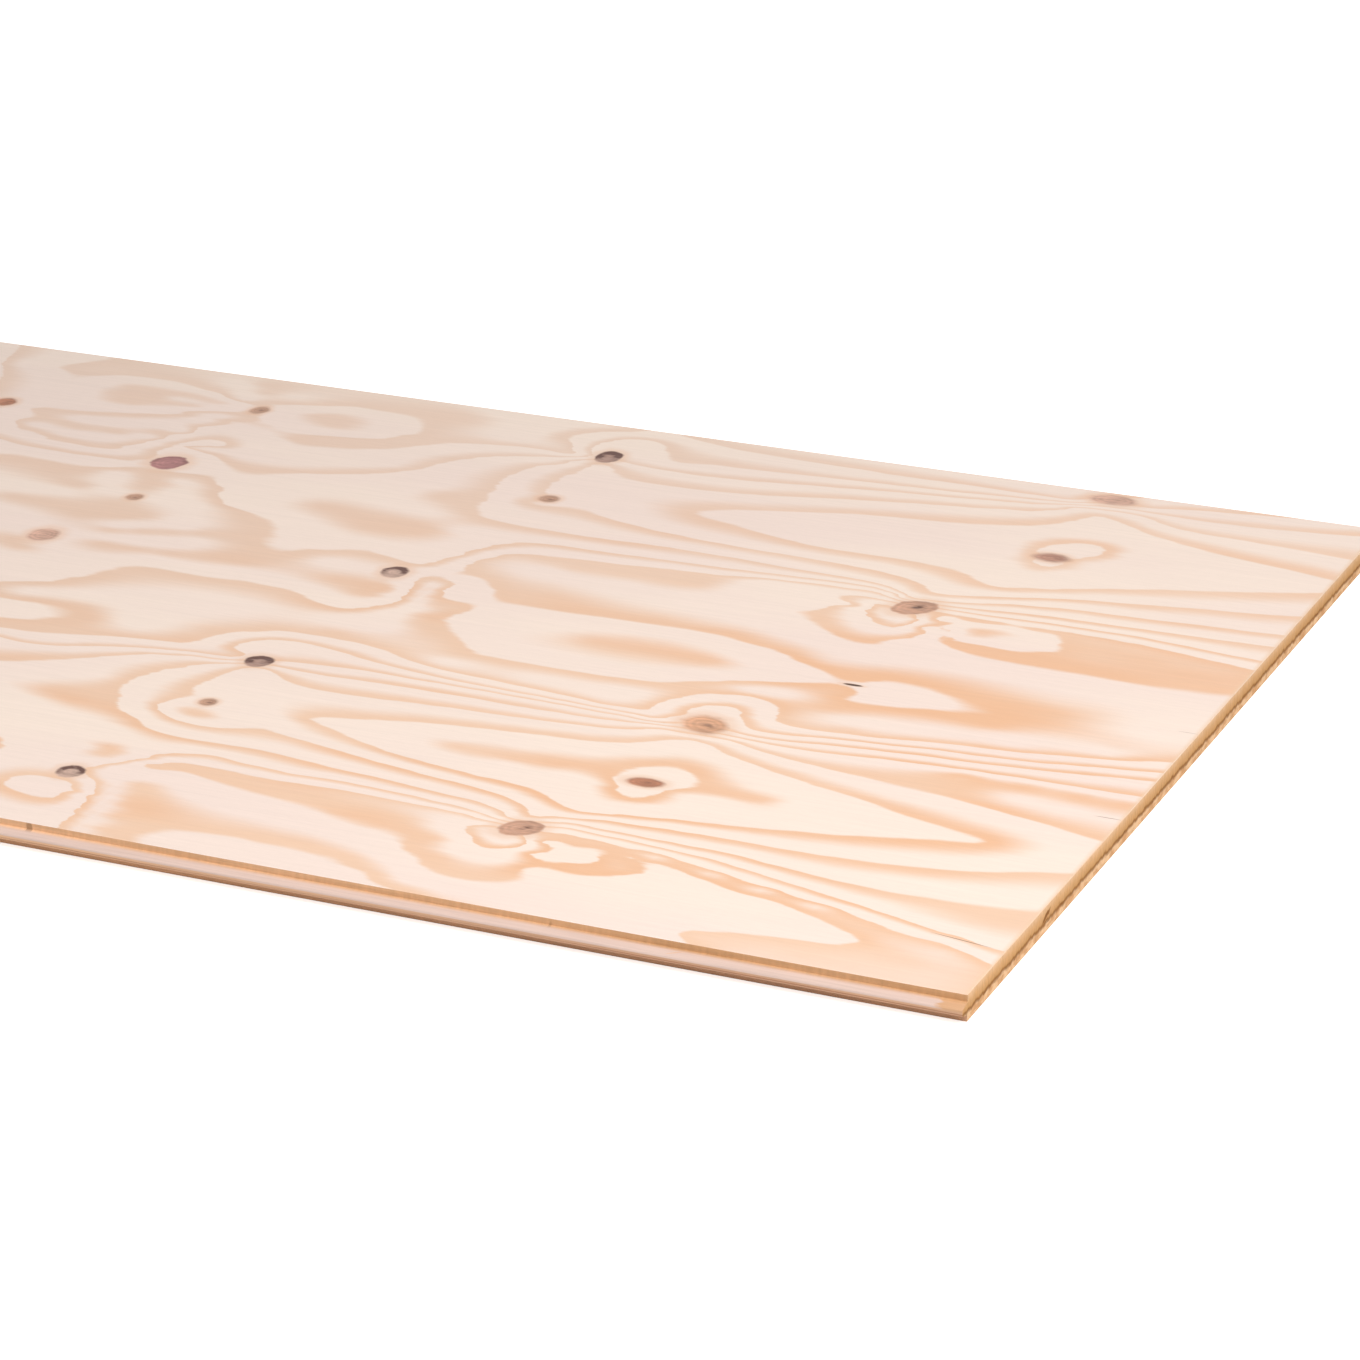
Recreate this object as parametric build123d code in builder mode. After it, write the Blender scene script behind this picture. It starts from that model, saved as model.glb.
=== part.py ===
"""Softwood plywood floor sheet, tongued along one long edge and grooved along the other.

The sheet lies flat, face veneer up. X runs along its length and along the grain of its
face, Z is up, and the origin is on the floor under the middle of the sheet, tongue included.
The tongue points to -Y, the groove opens to +Y, and both ends are sawn square.
"""
import os

from build123d import *

os.makedirs("parts", exist_ok=True)

# Sheet: the width is measured over the tongue
sheet_length = 2440.0
sheet_width = 1220.0
sheet_thickness = 24.0
arris = 0.6

# Tongue, at mid thickness, with flanks that taper to a rounded tip
tongue_length = 11.0
tongue_root_thickness = 11.6
tongue_tip_thickness = 5.6
tip_rounding_share = 0.3

# Groove, which takes the tongue of the next sheet with its flanks parallel to that tongue's
flank_clearance = 0.3
bottom_clearance = 1.0
bottom_corner_radius = 0.8

# The lower lip stands back, so that two sheets close at their top faces first
lower_lip_setback = 0.5

# Places along the width and the height of the section
mid_height = sheet_thickness / 2
tongue_tip_y = -sheet_width / 2
shoulder_y = tongue_tip_y + tongue_length
upper_lip_y = sheet_width / 2
lower_lip_y = upper_lip_y - lower_lip_setback

# Half heights of the tongue and of the groove around it
root_half = tongue_root_thickness / 2
tip_half = tongue_tip_thickness / 2
flank_slope = (root_half - tip_half) / tongue_length
groove_depth = tongue_length + bottom_clearance
groove_bottom_y = upper_lip_y - groove_depth
mouth_half = root_half + flank_clearance
groove_bottom_half = mouth_half - flank_slope * groove_depth

with BuildPart() as plywood_sheet:
    with BuildSketch(Plane.YZ) as section:
        # Board between the shoulder under the tongue and the lips of the groove
        with BuildLine():
            Polyline(
                (shoulder_y, 0),
                (lower_lip_y, 0),
                (lower_lip_y, mid_height),
                (upper_lip_y, mid_height),
                (upper_lip_y, sheet_thickness),
                (shoulder_y, sheet_thickness),
                close=True,
            )
        make_face()

        # Tongue with its tip rounded off
        with BuildLine():
            Polyline(
                (shoulder_y, mid_height + root_half),
                (tongue_tip_y, mid_height + tip_half),
                (tongue_tip_y, mid_height - tip_half),
                (shoulder_y, mid_height - root_half),
                close=True,
            )
        make_face()
        tip_corners = section.vertices().group_by(Axis.X)[0]
        fillet(tip_corners, radius=tip_rounding_share * tongue_tip_thickness)

    extrude(amount=sheet_length / 2, both=True)

    # Groove, cut right through from end to end
    with BuildSketch(Plane.YZ) as groove_section:
        with BuildLine():
            Polyline(
                (upper_lip_y, mid_height + mouth_half),
                (groove_bottom_y, mid_height + groove_bottom_half),
                (groove_bottom_y, mid_height - groove_bottom_half),
                (upper_lip_y, mid_height - mouth_half),
                close=True,
            )
        make_face()
        bottom_corners = groove_section.vertices().group_by(Axis.X)[0]
        fillet(bottom_corners, radius=bottom_corner_radius)
    extrude(amount=sheet_length / 2, both=True, mode=Mode.SUBTRACT)

    # Sharp edges of both faces taken off
    faces_up_and_down = plywood_sheet.faces().filter_by(Axis.Z).sort_by(Axis.Z)
    face_edges = faces_up_and_down[0].edges() + faces_up_and_down[-1].edges()
    chamfer(face_edges, length=arris)

plywood_sheet.part.label = "plywood_sheet"
export_step(plywood_sheet.part, "parts/plywood_sheet.step")
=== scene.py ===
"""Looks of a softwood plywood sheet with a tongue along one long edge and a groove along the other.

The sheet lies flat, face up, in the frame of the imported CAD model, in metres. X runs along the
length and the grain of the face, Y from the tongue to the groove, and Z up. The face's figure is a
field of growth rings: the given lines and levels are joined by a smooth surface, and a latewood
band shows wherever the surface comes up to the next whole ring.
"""
import logging
import math
from collections.abc import Callable
from dataclasses import dataclass, field
from enum import Enum

import bmesh
import bpy
import numpy as np
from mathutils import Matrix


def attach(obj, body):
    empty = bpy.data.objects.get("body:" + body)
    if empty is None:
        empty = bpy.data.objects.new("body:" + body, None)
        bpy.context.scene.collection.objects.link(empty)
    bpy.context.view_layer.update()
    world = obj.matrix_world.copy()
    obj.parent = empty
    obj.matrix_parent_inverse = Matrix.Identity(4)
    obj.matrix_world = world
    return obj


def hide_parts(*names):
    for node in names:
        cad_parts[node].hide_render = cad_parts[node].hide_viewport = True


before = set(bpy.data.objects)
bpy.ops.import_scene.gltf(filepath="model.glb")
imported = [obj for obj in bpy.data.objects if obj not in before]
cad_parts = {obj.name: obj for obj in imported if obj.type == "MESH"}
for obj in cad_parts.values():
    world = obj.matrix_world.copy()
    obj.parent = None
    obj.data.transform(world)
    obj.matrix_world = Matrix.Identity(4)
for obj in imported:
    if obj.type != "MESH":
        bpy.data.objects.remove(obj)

logging.basicConfig(level=logging.INFO, format="%(name)s: %(message)s")
log = logging.getLogger("plywood")

# Lengths in metres. Places nearer to each other than TOUCH count as one place
MM = 0.001
TOUCH = 1e-5
HALF_LENGTH = 1.220
THICKNESS = 0.024
SHOULDER = -0.599

WHITE = (1.0, 1.0, 1.0)

Point = tuple[float, float]
Vector = tuple[float, float, float]
Colour = tuple[float, float, float]
Socket = bpy.types.NodeSocket
Test = Callable[..., bool]


def linear(red: int, green: int, blue: int) -> Colour:
    """Turn a colour as a screen shows it into the linear values that shaders take.

    Args:
        red: red part, 0 to 255.
        green: green part, 0 to 255.
        blue: blue part, 0 to 255.

    Returns:
        The colour's linear parts, 0 to 1.
    """
    parts = [part / 255 for part in (red, green, blue)]
    return tuple(p / 12.92 if p <= 0.04045 else ((p + 0.055) / 1.055) ** 2.4 for p in parts)


@dataclass(frozen=True)
class GrowthLine:
    """A line on the face along which one growth ring ends.

    Attributes:
        ring: number of the ring, counted up towards the bark.
        points: places along the line, in mm from the right end and from the tongue's shoulder.
    """

    ring: float
    points: tuple[Point, ...]


@dataclass(frozen=True)
class GrowthLevel:
    """Places between the lines where the cut runs at a known share of a ring.

    Attributes:
        ring: ring number with its share, where .3 is pale earlywood and .85 tan latewood.
        points: places, in mm from the right end and from the tongue's shoulder.
    """

    ring: float
    points: tuple[Point, ...]


@dataclass(frozen=True)
class KnotLook:
    """How one kind of knot looks.

    Attributes:
        colour: colour of its wood.
        rim: how dark and wide the crescent of bark along its edge is, 0 to 2.
        core: how dark its pith is, 0 to 1.
        softness: how softly it runs out into the wood round it, 0 to 1.
    """

    colour: Colour
    rim: float
    core: float
    softness: float


class KnotKind(Enum):
    """The kinds of knot on the face."""

    DEAD = KnotLook(linear(172, 138, 124), 1.75, 0.0, 0.15)
    RINGED = KnotLook(linear(198, 166, 150), 1.45, 0.0, 0.2)
    SOUND = KnotLook(linear(202, 156, 131), 0.3, 0.95, 0.1)
    BROWN = KnotLook(linear(214, 163, 130), 0.12, 0.5, 0.5)
    SMALL = KnotLook(linear(188, 146, 122), 0.2, 0.5, 0.6)
    RED = KnotLook(linear(182, 124, 96), 0.35, 0.3, 0.45)
    ROSE = KnotLook(linear(184, 138, 119), 0.3, 0.2, 0.8)
    PURPLE = KnotLook(linear(176, 124, 121), 0.5, 0.0, 0.1)
    PALE = KnotLook(linear(212, 170, 150), 0.1, 0.1, 0.45)
    SPLIT = KnotLook(linear(88, 64, 50), 0.0, 0.0, 0.4)


@dataclass(frozen=True)
class Knot:
    """A branch cut through by the veneer knife.

    Attributes:
        place: its middle, in mm from the right end and from the tongue's shoulder.
        half_size: half its length and half its width, in mm.
        kind: how it looks.
        tilt: how far its length is turned from the grain, in degrees.
    """

    place: Point
    half_size: Point
    kind: KnotKind
    tilt: float = 0.0


@dataclass(frozen=True)
class Streak:
    """A thin mark on the surface: a crack or a chip darkened by painted shade, or a scratch.

    Attributes:
        place: its middle, in metres.
        half_size: half its size along its own axes, in metres.
        turn: how far it is turned about X, Y and Z, in degrees.
        strength: how much of the surface's colour it takes away, 0 to 1.
    """

    place: Vector
    half_size: Vector
    turn: Vector
    strength: float


# Cracks at the right end are not cut into the mesh: painted shade darkens the face along them.
SHADED_END_CRACKS: tuple[Streak, ...] = (
    Streak((1.2070, -0.2180, THICKNESS), (0.015, 0.0006, 0.002), (0, 0, 0), 0.8),
    Streak((1.1800, -0.5050, THICKNESS), (0.035, 0.0007, 0.002), (0, 0, -9), 0.8),
    Streak((1.2100, -0.0020, THICKNESS), (0.012, 0.0005, 0.002), (0, 0, 0), 0.5),
)
TONGUE_SCRATCH = Streak((0.9715, -0.6050, 0.016), (0.009, 0.0005, 0.004), (0, 0, 22), 0.8)
# The chip in the sawn end is not cut into the mesh: painted shade darkens it.
SHADED_END_CHIP = Streak((HALF_LENGTH, -0.4130, 0.0150), (0.003, 0.013, 0.0030), (16, 0, 0), 0.9)

KNOTS: tuple[Knot, ...] = (
    Knot((-278, 1187), (25, 15), KnotKind.PALE),
    Knot((-278, 992), (19, 12), KnotKind.ROSE),
    Knot((-352, 802), (24, 18), KnotKind.SOUND, 40),
    Knot((-329, 586), (10, 2.5), KnotKind.SPLIT),
    Knot((-415, 440), (22, 19), KnotKind.BROWN, -30),
    Knot((-409, 294), (17, 10), KnotKind.RED),
    Knot((-464, 158), (20, 16), KnotKind.SOUND, 35),
    Knot((-816, 1105), (14, 20), KnotKind.DEAD),
    Knot((-815, 955), (11, 11), KnotKind.SMALL),
    Knot((-858, 690), (14, 17), KnotKind.RINGED),
    Knot((-861, 419), (14, 15), KnotKind.DEAD),
    Knot((-853, 308), (9, 9), KnotKind.SMALL),
    Knot((-881, 113), (13, 14), KnotKind.RINGED),
    Knot((-1236, 1100), (10, 13), KnotKind.SMALL),
    Knot((-1235, 900), (19, 22), KnotKind.PURPLE),
    Knot((-1211, 787), (9, 10), KnotKind.SMALL),
    Knot((-1235, 647), (16, 19), KnotKind.PALE),
    Knot((-1508, 1013), (12, 14), KnotKind.RED),
)

GROWTH_LINES: tuple[GrowthLine, ...] = (
    GrowthLine(7, ((-276, 1130), (-293, 1104), (-312, 1084), (-345, 1066), (-390, 1054), (-450, 1044),
        (-510, 1034), (-565, 1018), (-612, 1001), (-645, 984), (-654, 977), (-640, 969), (-600, 958),
        (-560, 943), (-510, 932), (-450, 929), (-400, 929), (-352, 924), (-327, 909), (-309, 893),
        (-293, 890), (-250, 905), (-200, 927), (-150, 948), (-100, 966), (-50, 985), (5, 1008))),
    GrowthLine(7, ((-276, 1130), (-262, 1126), (-243, 1117), (-220, 1102), (-190, 1090), (-150, 1075),
        (-100, 1060), (-50, 1050), (5, 1036))),
    GrowthLine(6, ((-303, 1150), (-320, 1133), (-350, 1118), (-400, 1105), (-460, 1094), (-520, 1080),
        (-580, 1064), (-640, 1048), (-690, 1042), (-740, 1042), (-775, 1046), (-795, 1060),
        (-806, 1080))),
    GrowthLine(6, ((-816, 1082), (-824, 1060), (-831, 1030), (-833, 1000), (-828, 975), (-818, 960))),
    GrowthLine(6, ((-786, 975), (-772, 960), (-757, 937), (-725, 921), (-680, 910), (-620, 902),
        (-560, 897), (-490, 893), (-430, 889), (-390, 880), (-362, 866), (-345, 851))),
    GrowthLine(6, ((-333, 851), (-310, 857), (-280, 867), (-245, 880), (-200, 892), (-150, 901),
        (-100, 910), (-50, 920), (5, 933))),
    GrowthLine(6, ((-236, 1150), (-216, 1138), (-195, 1126), (-150, 1119), (-100, 1115), (-50, 1111),
        (5, 1104))),
    GrowthLine(5, ((-308, 1156), (-340, 1143), (-400, 1133), (-460, 1124), (-520, 1114), (-580, 1104),
        (-640, 1093), (-700, 1086), (-750, 1088), (-780, 1092), (-797, 1096))),
    GrowthLine(5, ((-832, 1088), (-850, 1066), (-870, 1045), (-878, 1015), (-882, 985), (-878, 962),
        (-874, 945), (-868, 928), (-868, 910), (-862, 893), (-850, 880), (-835, 872), (-790, 867),
        (-730, 866), (-660, 868), (-600, 866), (-540, 863), (-480, 859), (-430, 855), (-400, 850),
        (-382, 838), (-370, 828))),
    GrowthLine(5, ((-325, 832), (-300, 838), (-265, 850), (-225, 858), (-170, 862), (-100, 866),
        (-50, 870), (5, 877))),
    GrowthLine(5, ((-222, 1163), (-170, 1158), (-120, 1160), (-60, 1168), (5, 1181))),
    GrowthLine(4, ((-313, 1163), (-360, 1154), (-430, 1147), (-500, 1141), (-560, 1136), (-620, 1131),
        (-680, 1126), (-725, 1118), (-745, 1116), (-762, 1128), (-770, 1150), (-785, 1168), (-805, 1173),
        (-828, 1165), (-844, 1147), (-847, 1128), (-840, 1112))),
    GrowthLine(4, ((-846, 1092), (-872, 1082), (-902, 1070), (-932, 1054), (-957, 1030), (-972, 1005),
        (-990, 978), (-1015, 955), (-1045, 940), (-1080, 925), (-1110, 908), (-1140, 893), (-1175, 884),
        (-1205, 878))),
    GrowthLine(4, ((-380, 832), (-400, 839), (-440, 842), (-500, 839), (-560, 835), (-620, 831),
        (-700, 828), (-750, 828), (-778, 823), (-797, 810), (-810, 788), (-820, 760), (-832, 738),
        (-845, 722), (-870, 730), (-915, 740), (-950, 727), (-985, 710), (-1008, 730), (-1022, 757),
        (-1040, 778), (-1075, 793), (-1115, 805), (-1135, 830), (-1155, 862))),
    GrowthLine(4, ((-322, 822), (-280, 826), (-230, 832), (-150, 835), (-80, 836), (5, 840))),
    GrowthLine(4, ((-235, 1178), (-180, 1190), (-120, 1200), (-60, 1212))),
    GrowthLine(3, ((-318, 1170), (-400, 1170), (-500, 1171), (-600, 1174), (-700, 1182), (-760, 1195),
        (-800, 1212))),
    GrowthLine(3, ((-852, 1099), (-885, 1101), (-920, 1098), (-952, 1091), (-985, 1079), (-1012, 1060),
        (-1035, 1038), (-1065, 1020), (-1105, 1009), (-1150, 1007), (-1185, 1025), (-1220, 1043),
        (-1245, 1035))),
    GrowthLine(3, ((-850, 1107), (-862, 1120), (-873, 1138), (-877, 1152), (-870, 1168), (-850, 1183),
        (-825, 1195))),
    GrowthLine(3, ((-385, 822), (-410, 829), (-460, 828), (-520, 820), (-580, 812), (-640, 806),
        (-710, 800), (-755, 795), (-785, 780), (-801, 757), (-806, 735), (-812, 712), (-826, 696),
        (-828, 672), (-824, 650), (-820, 628), (-824, 606), (-838, 589), (-856, 579), (-885, 586),
        (-930, 605), (-980, 610), (-1030, 606), (-1075, 608), (-1112, 602), (-1128, 580), (-1137, 555),
        (-1160, 530), (-1210, 508))),
    GrowthLine(3, ((-320, 812), (-270, 812), (-200, 815), (-130, 813), (-60, 806), (5, 797))),
    GrowthLine(2, ((-318, 803), (-260, 800), (-190, 800), (-120, 795), (-60, 785), (5, 772))),
    GrowthLine(2, ((-505, 810), (-460, 806), (-425, 795), (-405, 785), (-432, 766), (-457, 745),
        (-432, 725), (-400, 702), (-366, 687), (-345, 692), (-334, 715), (-329, 755), (-323, 785))),
    GrowthLine(2, ((-317, 790), (-309, 765), (-301, 740), (-288, 716), (-265, 703), (-200, 692),
        (-100, 688), (5, 692))),
    GrowthLine(2, ((-297, 775), (-270, 786), (-230, 785), (-203, 784), (-195, 762), (-187, 748),
        (-207, 738), (-250, 733), (-285, 736), (-297, 755), (-297, 775))),
    GrowthLine(1, ((-393, 798), (-389, 772), (-374, 750), (-354, 742), (-339, 750), (-333, 772))),
    GrowthLine(3, ((-720, 650), (-660, 652), (-600, 654), (-540, 656), (-480, 650), (-430, 637),
        (-390, 615), (-360, 596), (-335, 587), (-365, 580), (-410, 562), (-450, 543), (-500, 523),
        (-550, 516), (-610, 515), (-680, 520), (-697, 532), (-715, 556), (-738, 580), (-746, 608),
        (-740, 635), (-720, 650))),
    GrowthLine(3, ((-799, 690), (-790, 708), (-771, 706), (-757, 690), (-745, 670), (-733, 650),
        (-750, 643), (-782, 648), (-794, 662), (-799, 690))),
    GrowthLine(3, ((-322, 592), (-312, 600), (-280, 602), (-245, 592), (-225, 577), (-245, 560),
        (-280, 550), (-318, 552), (-322, 575))),
    GrowthLine(3, ((-1140, 396), (-1110, 398), (-1075, 404), (-1040, 414), (-1010, 422), (-985, 427),
        (-950, 431), (-935, 447), (-925, 468), (-895, 488), (-850, 500), (-790, 496), (-750, 482),
        (-700, 468), (-640, 462), (-580, 457), (-520, 448), (-478, 447), (-473, 472), (-460, 492),
        (-435, 512), (-408, 522), (-385, 515), (-372, 497), (-365, 478), (-345, 467), (-320, 466),
        (-270, 470), (-220, 480), (-170, 487), (-110, 494), (-60, 505), (5, 523))),
    GrowthLine(4, ((-1125, 379), (-1097, 373), (-1060, 377), (-1030, 389), (-990, 402), (-950, 411),
        (-915, 415), (-886, 417))),
    GrowthLine(3, ((-1190, 470), (-1150, 468), (-1120, 460), (-1110, 446), (-1125, 432), (-1160, 426),
        (-1190, 428))),
    GrowthLine(4, ((-880, 425), (-898, 440), (-900, 455), (-885, 470), (-860, 478), (-830, 477),
        (-790, 468), (-745, 456), (-700, 450), (-640, 445), (-570, 441), (-510, 438), (-465, 433),
        (-448, 445), (-443, 468), (-430, 485), (-412, 490), (-396, 482), (-388, 462), (-372, 446),
        (-345, 446), (-300, 453), (-240, 461), (-180, 468), (-100, 476), (5, 497))),
    GrowthLine(5, ((-1110, 310), (-1080, 320), (-1045, 338), (-1015, 358), (-990, 380), (-960, 397),
        (-920, 407), (-882, 412))),
    GrowthLine(5, ((-845, 425), (-800, 432), (-750, 437), (-680, 436), (-600, 433), (-520, 430),
        (-455, 427))),
    GrowthLine(5, ((-368, 430), (-330, 433), (-280, 441), (-230, 447), (-170, 451), (-100, 458),
        (-50, 466), (5, 476))),
    GrowthLine(6, ((-845, 413), (-790, 409), (-720, 413), (-640, 413), (-560, 412), (-500, 415),
        (-455, 421))),
    GrowthLine(6, ((-370, 421), (-330, 418), (-280, 422), (-230, 429), (-170, 433), (-100, 435),
        (5, 436))),
    GrowthLine(7, ((-850, 404), (-822, 388), (-790, 377), (-740, 374), (-680, 379), (-620, 384),
        (-560, 388), (-510, 392), (-470, 402), (-447, 413))),
    GrowthLine(7, ((-378, 413), (-350, 402), (-300, 390), (-250, 380), (-200, 372), (-150, 365),
        (-100, 355), (-50, 343), (5, 325))),
    GrowthLine(7, ((-862, 402), (-872, 380), (-880, 355), (-880, 335), (-870, 318), (-860, 312))),
    GrowthLine(7, ((-838, 303), (-805, 292), (-770, 275), (-730, 262), (-680, 250), (-630, 240),
        (-580, 231), (-530, 224), (-500, 216), (-480, 203), (-467, 184))),
    GrowthLine(7, ((-438, 196), (-405, 205), (-350, 209), (-250, 208), (-200, 209), (-150, 214),
        (-100, 223), (-50, 241), (5, 263))),
    GrowthLine(8, ((-745, 309), (-715, 322), (-680, 333), (-640, 342), (-590, 350), (-540, 356),
        (-490, 362), (-460, 370), (-440, 382), (-425, 396), (-408, 401), (-390, 395), (-372, 382),
        (-345, 370), (-300, 357), (-250, 340), (-200, 323), (-150, 308), (-115, 297), (-96, 288),
        (-125, 280), (-170, 268), (-230, 252), (-300, 238), (-370, 225), (-410, 216), (-432, 213),
        (-455, 221), (-480, 236), (-510, 246), (-550, 250), (-600, 258), (-650, 270), (-690, 284),
        (-720, 297), (-745, 309))),
    GrowthLine(9, ((-432, 300), (-425, 318), (-411, 329), (-394, 332), (-380, 323), (-373, 306),
        (-377, 292), (-386, 282), (-393, 270), (-406, 262), (-420, 267), (-428, 281), (-432, 300))),
    GrowthLine(9.25, ((-402, 318), (-410, 276), (-390, 300), (-422, 292))),
    GrowthLine(6, ((-876, 406), (-890, 398), (-915, 375), (-935, 350), (-945, 325), (-940, 305),
        (-928, 288), (-924, 270), (-906, 256), (-886, 244), (-868, 230), (-830, 223), (-760, 226),
        (-700, 220), (-650, 213), (-600, 206), (-550, 200), (-510, 193), (-490, 183), (-480, 174))),
    GrowthLine(6, ((-435, 186), (-400, 185), (-350, 183), (-280, 180), (-220, 172), (-170, 164),
        (-120, 162), (-60, 168), (5, 178))),
    GrowthLine(5, ((-868, 133), (-855, 145), (-835, 165), (-815, 188), (-790, 196), (-750, 191),
        (-700, 187), (-650, 189), (-600, 187), (-560, 183), (-520, 177), (-495, 169))),
    GrowthLine(5, ((-430, 176), (-390, 173), (-350, 170), (-300, 164), (-250, 154), (-200, 142),
        (-150, 129), (-100, 114), (-60, 101), (-20, 91), (5, 88))),
    GrowthLine(4, ((-846, 134), (-832, 152), (-812, 168), (-780, 172), (-720, 170), (-650, 173),
        (-580, 173), (-520, 169), (-495, 162))),
    GrowthLine(4, ((-838, 138), (-822, 146), (-802, 150), (-788, 150), (-760, 144), (-700, 132),
        (-640, 117), (-590, 104), (-555, 91), (-535, 71), (-510, 52), (-480, 40), (-450, 37), (-425, 43),
        (-412, 56), (-420, 82), (-432, 112), (-438, 138))),
    GrowthLine(4, ((-425, 166), (-390, 163), (-350, 158), (-300, 148), (-250, 135), (-200, 123),
        (-150, 111), (-118, 99))),
    GrowthLine(4, ((-385, 146), (-350, 140), (-300, 129), (-250, 111), (-215, 104), (-190, 98),
        (-160, 85), (-135, 71), (-116, 61), (-128, 48), (-160, 42), (-205, 36), (-240, 27))),
    GrowthLine(3.8, ((-385, 152), (-350, 146), (-300, 136), (-250, 118), (-200, 108), (-150, 91),
        (-125, 78), (-104, 62), (-112, 42), (-150, 32), (-205, 26), (-245, 16))),
    GrowthLine(3, ((-500, 150), (-498, 130), (-485, 112), (-465, 107), (-450, 116), (-445, 135))),
    GrowthLine(4, ((-412, 134), (-400, 136), (-376, 122), (-388, 111), (-403, 110), (-412, 134))),
    GrowthLine(5, ((-740, 20), (-722, 32), (-680, 39), (-620, 37), (-570, 25), (-535, 9), (-515, -5))),
    GrowthLine(5, ((-848, 100), (-844, 86), (-840, 72), (-836, 58), (-833, 44), (-830, 30), (-828, 14),
        (-826, -4))),
    GrowthLine(3, ((-1222, 1108), (-1200, 1135), (-1150, 1150), (-1095, 1148), (-1060, 1131),
        (-1042, 1105), (-1058, 1078), (-1095, 1058), (-1150, 1047), (-1195, 1060), (-1222, 1090))),
    GrowthLine(3, ((-1252, 1108), (-1300, 1135), (-1370, 1152), (-1430, 1152), (-1465, 1135),
        (-1488, 1112))),
    GrowthLine(3, ((-1254, 1092), (-1280, 1077), (-1315, 1058), (-1355, 1040), (-1405, 1025),
        (-1465, 1014))),
    GrowthLine(2.9, ((-1262, 1078), (-1300, 1050), (-1350, 1029), (-1400, 1014), (-1460, 1002))),
    GrowthLine(2.92, ((-1254, 1056), (-1272, 1020), (-1300, 990), (-1338, 970), (-1385, 966),
        (-1440, 982))),
    GrowthLine(2.92, ((-1268, 1010), (-1288, 982), (-1299, 950), (-1312, 927), (-1350, 919),
        (-1400, 927), (-1450, 950))),
    GrowthLine(3, ((-1260, 1004), (-1280, 976), (-1290, 946), (-1304, 918), (-1350, 909), (-1400, 915),
        (-1445, 930))),
    GrowthLine(2.2, ((-1264, 1062), (-1280, 1042), (-1310, 1018), (-1350, 1001), (-1400, 994))),
    GrowthLine(2.2, ((-1280, 1002), (-1302, 968), (-1337, 948), (-1385, 945), (-1430, 957))),
    GrowthLine(4, ((-1262, 925), (-1258, 950), (-1243, 977), (-1224, 985), (-1211, 970), (-1209, 942))),
    GrowthLine(4, ((-1265, 894), (-1300, 888), (-1350, 885), (-1400, 887), (-1440, 897))),
    GrowthLine(4, ((-1258, 880), (-1285, 862), (-1340, 858), (-1400, 866))),
)

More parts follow.
